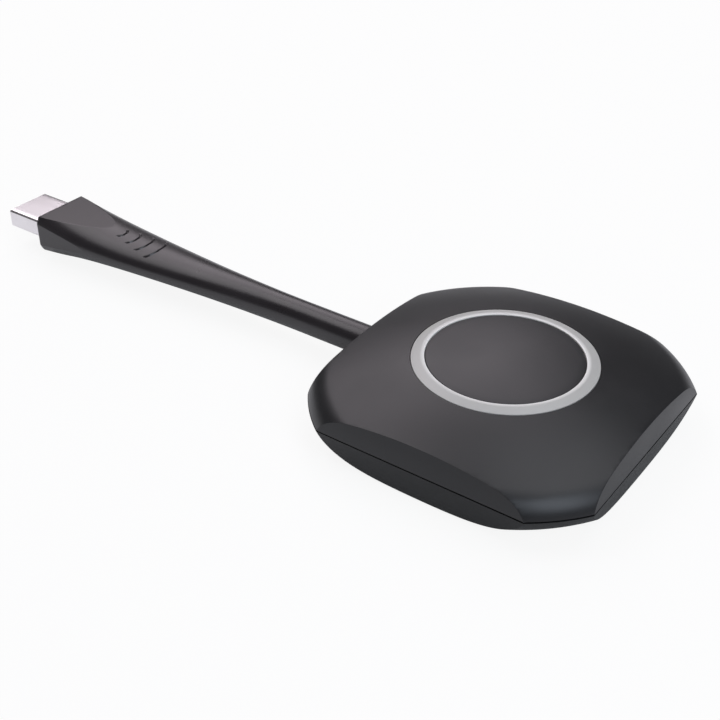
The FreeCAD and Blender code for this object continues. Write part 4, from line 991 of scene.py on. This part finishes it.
# %% [markdown]
# ### Materials inside
#
# The pieces inside are ordinary electronics materials. They only show in a cutaway, but they
# are finished in the same way as the outside, with the grain that each process leaves.

# %% Light chamber and switch
# White ABS, nearly smooth: it throws the light up evenly.
finishes["white_plastic"] = moulded(
    "white_abs_reflector", ("#ececea", "#f2f2f0"), (0.4, 0.5), 0.3 * MM, 0.003 * MM)
# Clear epoxy over phosphor: a glossy pale yellow.
finishes["led_package"] = moulded(
    "led_package_epoxy", ("#e8e4c8", "#f0ecd4"), (0.25, 0.35), 0.2 * MM, 0.001 * MM)
# Black nylon: a satin black, a little greyer than the cover.
finishes["switch_plastic"] = moulded(
    "black_nylon_switch", ("#202022", "#262628"), (0.4, 0.5), 0.2 * MM, 0.003 * MM)

# %% Board and its parts
# Solder mask on glass laminate: a glossy green, uneven over 2 mm, where tracks lie under it.
finishes["board_laminate"] = moulded(
    "green_solder_mask_on_fr4", ("#16502e", "#1c5c36"), (0.3, 0.4), 0.6 * MM, 0.004 * MM,
    drift=2 * MM)
# Chip epoxy with silica in it: a matt black with a sandy grain.
finishes["chip_epoxy"] = moulded(
    "moulded_chip_epoxy", ("#1c1c1e", "#242426"), (0.5, 0.6), 0.08 * MM, 0.004 * MM)
# Filled silicone: a soft matt grey.
finishes["pad_silicone"] = moulded(
    "grey_gap_filler_pad", ("#8c94a0", "#98a0aa"), (0.7, 0.8), 0.3 * MM, 0.02 * MM)
# Sintered ferrite: a dry dark grey, like stone.
finishes["ferrite"] = moulded(
    "sintered_ferrite", ("#3a3a3c", "#464648"), (0.6, 0.7), 0.15 * MM, 0.01 * MM)
# Fired ceramic: a light satin brown.
finishes["capacitor_ceramic"] = moulded(
    "fired_capacitor_ceramic", ("#a88868", "#b89878"), (0.45, 0.55), 0.1 * MM, 0.003 * MM)
# Thin laminate under black solder mask: a greenish black.
finishes["antenna_laminate"] = moulded(
    "black_solder_mask_laminate", ("#1a2420", "#202a26"), (0.35, 0.45), 0.5 * MM, 0.003 * MM)
# Fluoropolymer: waxy, because it mirrors less than other plastics.
finishes["lead_fluoropolymer"] = moulded(
    "grey_fluoropolymer_lead", ("#606266", "#6a6c70"), (0.35, 0.45), 0.3 * MM, 0.002 * MM, 1.38)
# Nylon without pigment: ivory.
finishes["connector_nylon"] = moulded(
    "ivory_nylon_connector", ("#e4dfd0", "#ebe6d8"), (0.45, 0.55), 0.2 * MM, 0.003 * MM)

# %% Cable and plug
# Polyethylene without pigment: a milky, slightly yellow white.
finishes["mould_polyethylene"] = moulded(
    "natural_polyethylene_mould", ("#d8d8d2", "#e0e0da"), (0.45, 0.55), 0.5 * MM, 0.005 * MM)
# Soft PVC: a satin black jacket.
finishes["jacket_pvc"] = moulded(
    "black_pvc_jacket", ("#242424", "#2a2a2a"), (0.4, 0.5), 0.4 * MM, 0.004 * MM, 1.53)
# PBT polyester: a clean, slightly glossy white.
finishes["plug_plastic"] = moulded(
    "white_pbt_insulator", ("#f0f0ec", "#f4f4f0"), (0.35, 0.45), 0.2 * MM, 0.002 * MM)
# Coloured PVC over the wires: extruded, so it has a smooth gloss.
wire_colours = {
    "red": ("#a81c1c", "#b42424"),
    "white": ("#dcdcd8", "#e4e4e0"),
    "green": ("#1c7a34", "#24863c"),
    "black": ("#1c1c1c", "#242424")
}
for colour, shades in wire_colours.items():
    finishes["wire_" + colour + "_pvc"] = moulded(
        colour + "_pvc_wire", shades, (0.35, 0.45), 0.3 * MM, 0.002 * MM, 1.53)

# %% [markdown]
# ### Putting the finishes on
#
# The frame says which material slot each CAD node has, so one loop covers them all. The new
# pieces have no slot of their own yet, and get their material here.

# %% Put the finishes on
slot_of = {part["node"]: part["material_slot"] for part in frame["record"]["subparts"]}
for name, node in frame["nodes"].items():
    for slot in node.material_slots:
        slot.material = finishes[slot_of[name]]
own_pieces = {
    "cover_plastic": top_cover, "base_plastic": bottom_cover, "ring_polycarbonate": light_ring,
    "button_plastic": push_button, "pad_rubber": foot_pad, "tail_elastomer": soft_tail,
    "plug_steel": plug_shell
}
for slot, piece in own_pieces.items():
    piece.data.materials.append(finishes[slot])
print("Finishes:", len(finishes))

# %% [markdown]
# ## Studio
#
# The floor is plain and pale. Most of what the camera sees of it is plain white, as in a
# product photograph, and the rest is its own shading, which keeps the object's shadow. More
# light would whiten it too, but it would also wash out the object. In gloss, a smaller share
# of white is added, so that the lower facets stay dark.

# %% Floor
FLOOR_SIZE = 4.0
FLOOR_COLOUR = "#f8f8f8"
FLOOR_SEEN_WHITE = 0.9
FLOOR_MIRRORED_WHITE = 0.12


def either(tree, first, second):
    """The larger of two marks that tell what kind a ray is."""
    both = add_node(tree, "ShaderNodeMath", {"operation": "MAXIMUM"})
    tree.links.new(first, both.inputs[0])
    tree.links.new(second, both.inputs[1])
    return both.outputs["Value"]


def scaled(tree, mark, factor):
    """A mark times a plain number."""
    product = add_node(tree, "ShaderNodeMath", {"operation": "MULTIPLY"})
    tree.links.new(mark, product.inputs[0])
    product.inputs[1].default_value = factor
    return product.outputs["Value"]


def make_floor():
    bm = bmesh.new()
    bmesh.ops.create_grid(bm, x_segments=1, y_segments=1, size=FLOOR_SIZE / 2)
    mesh = bpy.data.meshes.new("floor")
    bm.to_mesh(mesh)
    bm.free()
    floor = bpy.data.objects.new("floor", mesh)
    bpy.context.scene.collection.objects.link(floor)
    material = bpy.data.materials.new("pale_floor")
    material.use_nodes = True
    tree = material.node_tree
    tree.nodes.clear()
    diffuse = add_node(tree, "ShaderNodeBsdfDiffuse", Color=linear(FLOOR_COLOUR))
    white = add_node(tree, "ShaderNodeEmission", Color=(1, 1, 1, 1), Strength=1.0)
    rays = add_node(tree, "ShaderNodeLightPath")
    mirrored_rays = either(tree, rays.outputs["Is Glossy Ray"], rays.outputs["Is Transmission Ray"])
    seen = scaled(tree, rays.outputs["Is Camera Ray"], FLOOR_SEEN_WHITE)
    share = either(tree, seen, scaled(tree, mirrored_rays, FLOOR_MIRRORED_WHITE))
    mix = add_node(tree, "ShaderNodeMixShader", Fac=share)
    tree.links.new(diffuse.outputs["BSDF"], mix.inputs[1])
    tree.links.new(white.outputs["Emission"], mix.inputs[2])
    add_node(tree, "ShaderNodeOutputMaterial", Surface=mix.outputs["Shader"])
    floor.data.materials.append(material)


make_floor()
print("Floor:", FLOOR_SIZE, "m wide")

# %% [markdown]
# ### Backdrop
#
# The world is white to the camera. To everything else it is a dim grey, so that no side of
# the object is quite black.


# %% World
def make_world(grey):
    """White to the camera, and an even dim grey to everything else."""
    world = bpy.data.worlds.new("studio")
    bpy.context.scene.world = world
    world.use_nodes = True
    tree = world.node_tree
    tree.nodes.clear()
    rays = add_node(tree, "ShaderNodeLightPath")
    dim = add_node(tree, "ShaderNodeBackground", Color=(1, 1, 1, 1), Strength=grey)
    white = add_node(tree, "ShaderNodeBackground", Color=(1, 1, 1, 1), Strength=1.0)
    mix = add_node(tree, "ShaderNodeMixShader", Fac=rays.outputs["Is Camera Ray"])
    tree.links.new(dim.outputs["Background"], mix.inputs[1])
    tree.links.new(white.outputs["Background"], mix.inputs[2])
    add_node(tree, "ShaderNodeOutputWorld", Surface=mix.outputs["Shader"])


WORLD_GREY = 0.1
make_world(WORLD_GREY)
print("World: grey", WORLD_GREY)

# %% [markdown]
# ### Lights
#
# Black plastic gets its shape from what it mirrors. A wide soft light behind gives the tail
# and the plug their bright tops. One high at the left and one overhead lie as a soft sheen
# on the dome and the button, and one at the right makes the band along the near corner. The
# near side has none, so the facets stay dark. The tints are slight: warm behind, cool right.

# %% Lights
middle = (Vector(cad_box[0]) + Vector(cad_box[1])) / 2


def softbox(name, up, turn, width, height, radiance, tint):
    """Rectangular soft light a metre away, at a height and a turn given in degrees.

    Radiance 1 is the brightness of a white surface in plain light.
    """
    up, turn = math.radians(up), math.radians(turn)
    away = Vector((math.cos(up) * math.cos(turn), math.cos(up) * math.sin(turn), math.sin(up)))
    light = bpy.data.lights.new(name, "AREA")
    light.shape = "RECTANGLE"
    light.size = width
    light.size_y = height
    light.color = linear(tint)[:3]
    light.energy = radiance * math.pi * width * height
    lamp = bpy.data.objects.new(name, light)
    lamp.location = middle + away
    lamp.rotation_euler = away.to_track_quat("Z", "Y").to_euler()
    lamp.visible_camera = False
    bpy.context.scene.collection.objects.link(lamp)


softbox("backlight", up=42, turn=136, width=0.85, height=0.58, radiance=2.05, tint="#fff6fd")
softbox("top_left", up=62, turn=195, width=0.6, height=0.5, radiance=2.3, tint="#fffafe")
softbox("overhead", up=70, turn=50, width=0.8, height=0.6, radiance=1.9, tint="#f8faff")
softbox("right_side", up=40, turn=338, width=0.5, height=0.6, radiance=3.8, tint="#e8f2ff")
print("Lights:", len(bpy.data.lights))

# %% [markdown]
# ## Camera
#
# The camera stands where the photograph's did: in front of the body's corner, and about a
# third of a right angle above the table. Its place, aim and lens were found by matching the
# outlines of the body, the tail and the plug.

# %% Camera
CAMERA_PLACE = Vector((91.78, -175.95, 146.30)) * MM
CAMERA_AIM = Vector((-30.285, -6.776, 7.0)) * MM
LENS = 60.04
SENSOR_WIDTH = 36.0
CLIP_START = 10 * MM

camera_data = bpy.data.cameras.new("photo_view")
camera_data.lens = LENS
camera_data.sensor_width = SENSOR_WIDTH
camera_data.clip_start = CLIP_START
camera = bpy.data.objects.new("photo_view", camera_data)
camera.location = CAMERA_PLACE
camera.rotation_euler = (CAMERA_AIM - CAMERA_PLACE).to_track_quat("-Z", "Y").to_euler()
bpy.context.scene.collection.objects.link(camera)
bpy.context.scene.camera = camera
bpy.context.scene.view_settings.view_transform = "Standard"
print("Camera:", round((CAMERA_PLACE - CAMERA_AIM).length / MM), "mm from what it aims at")
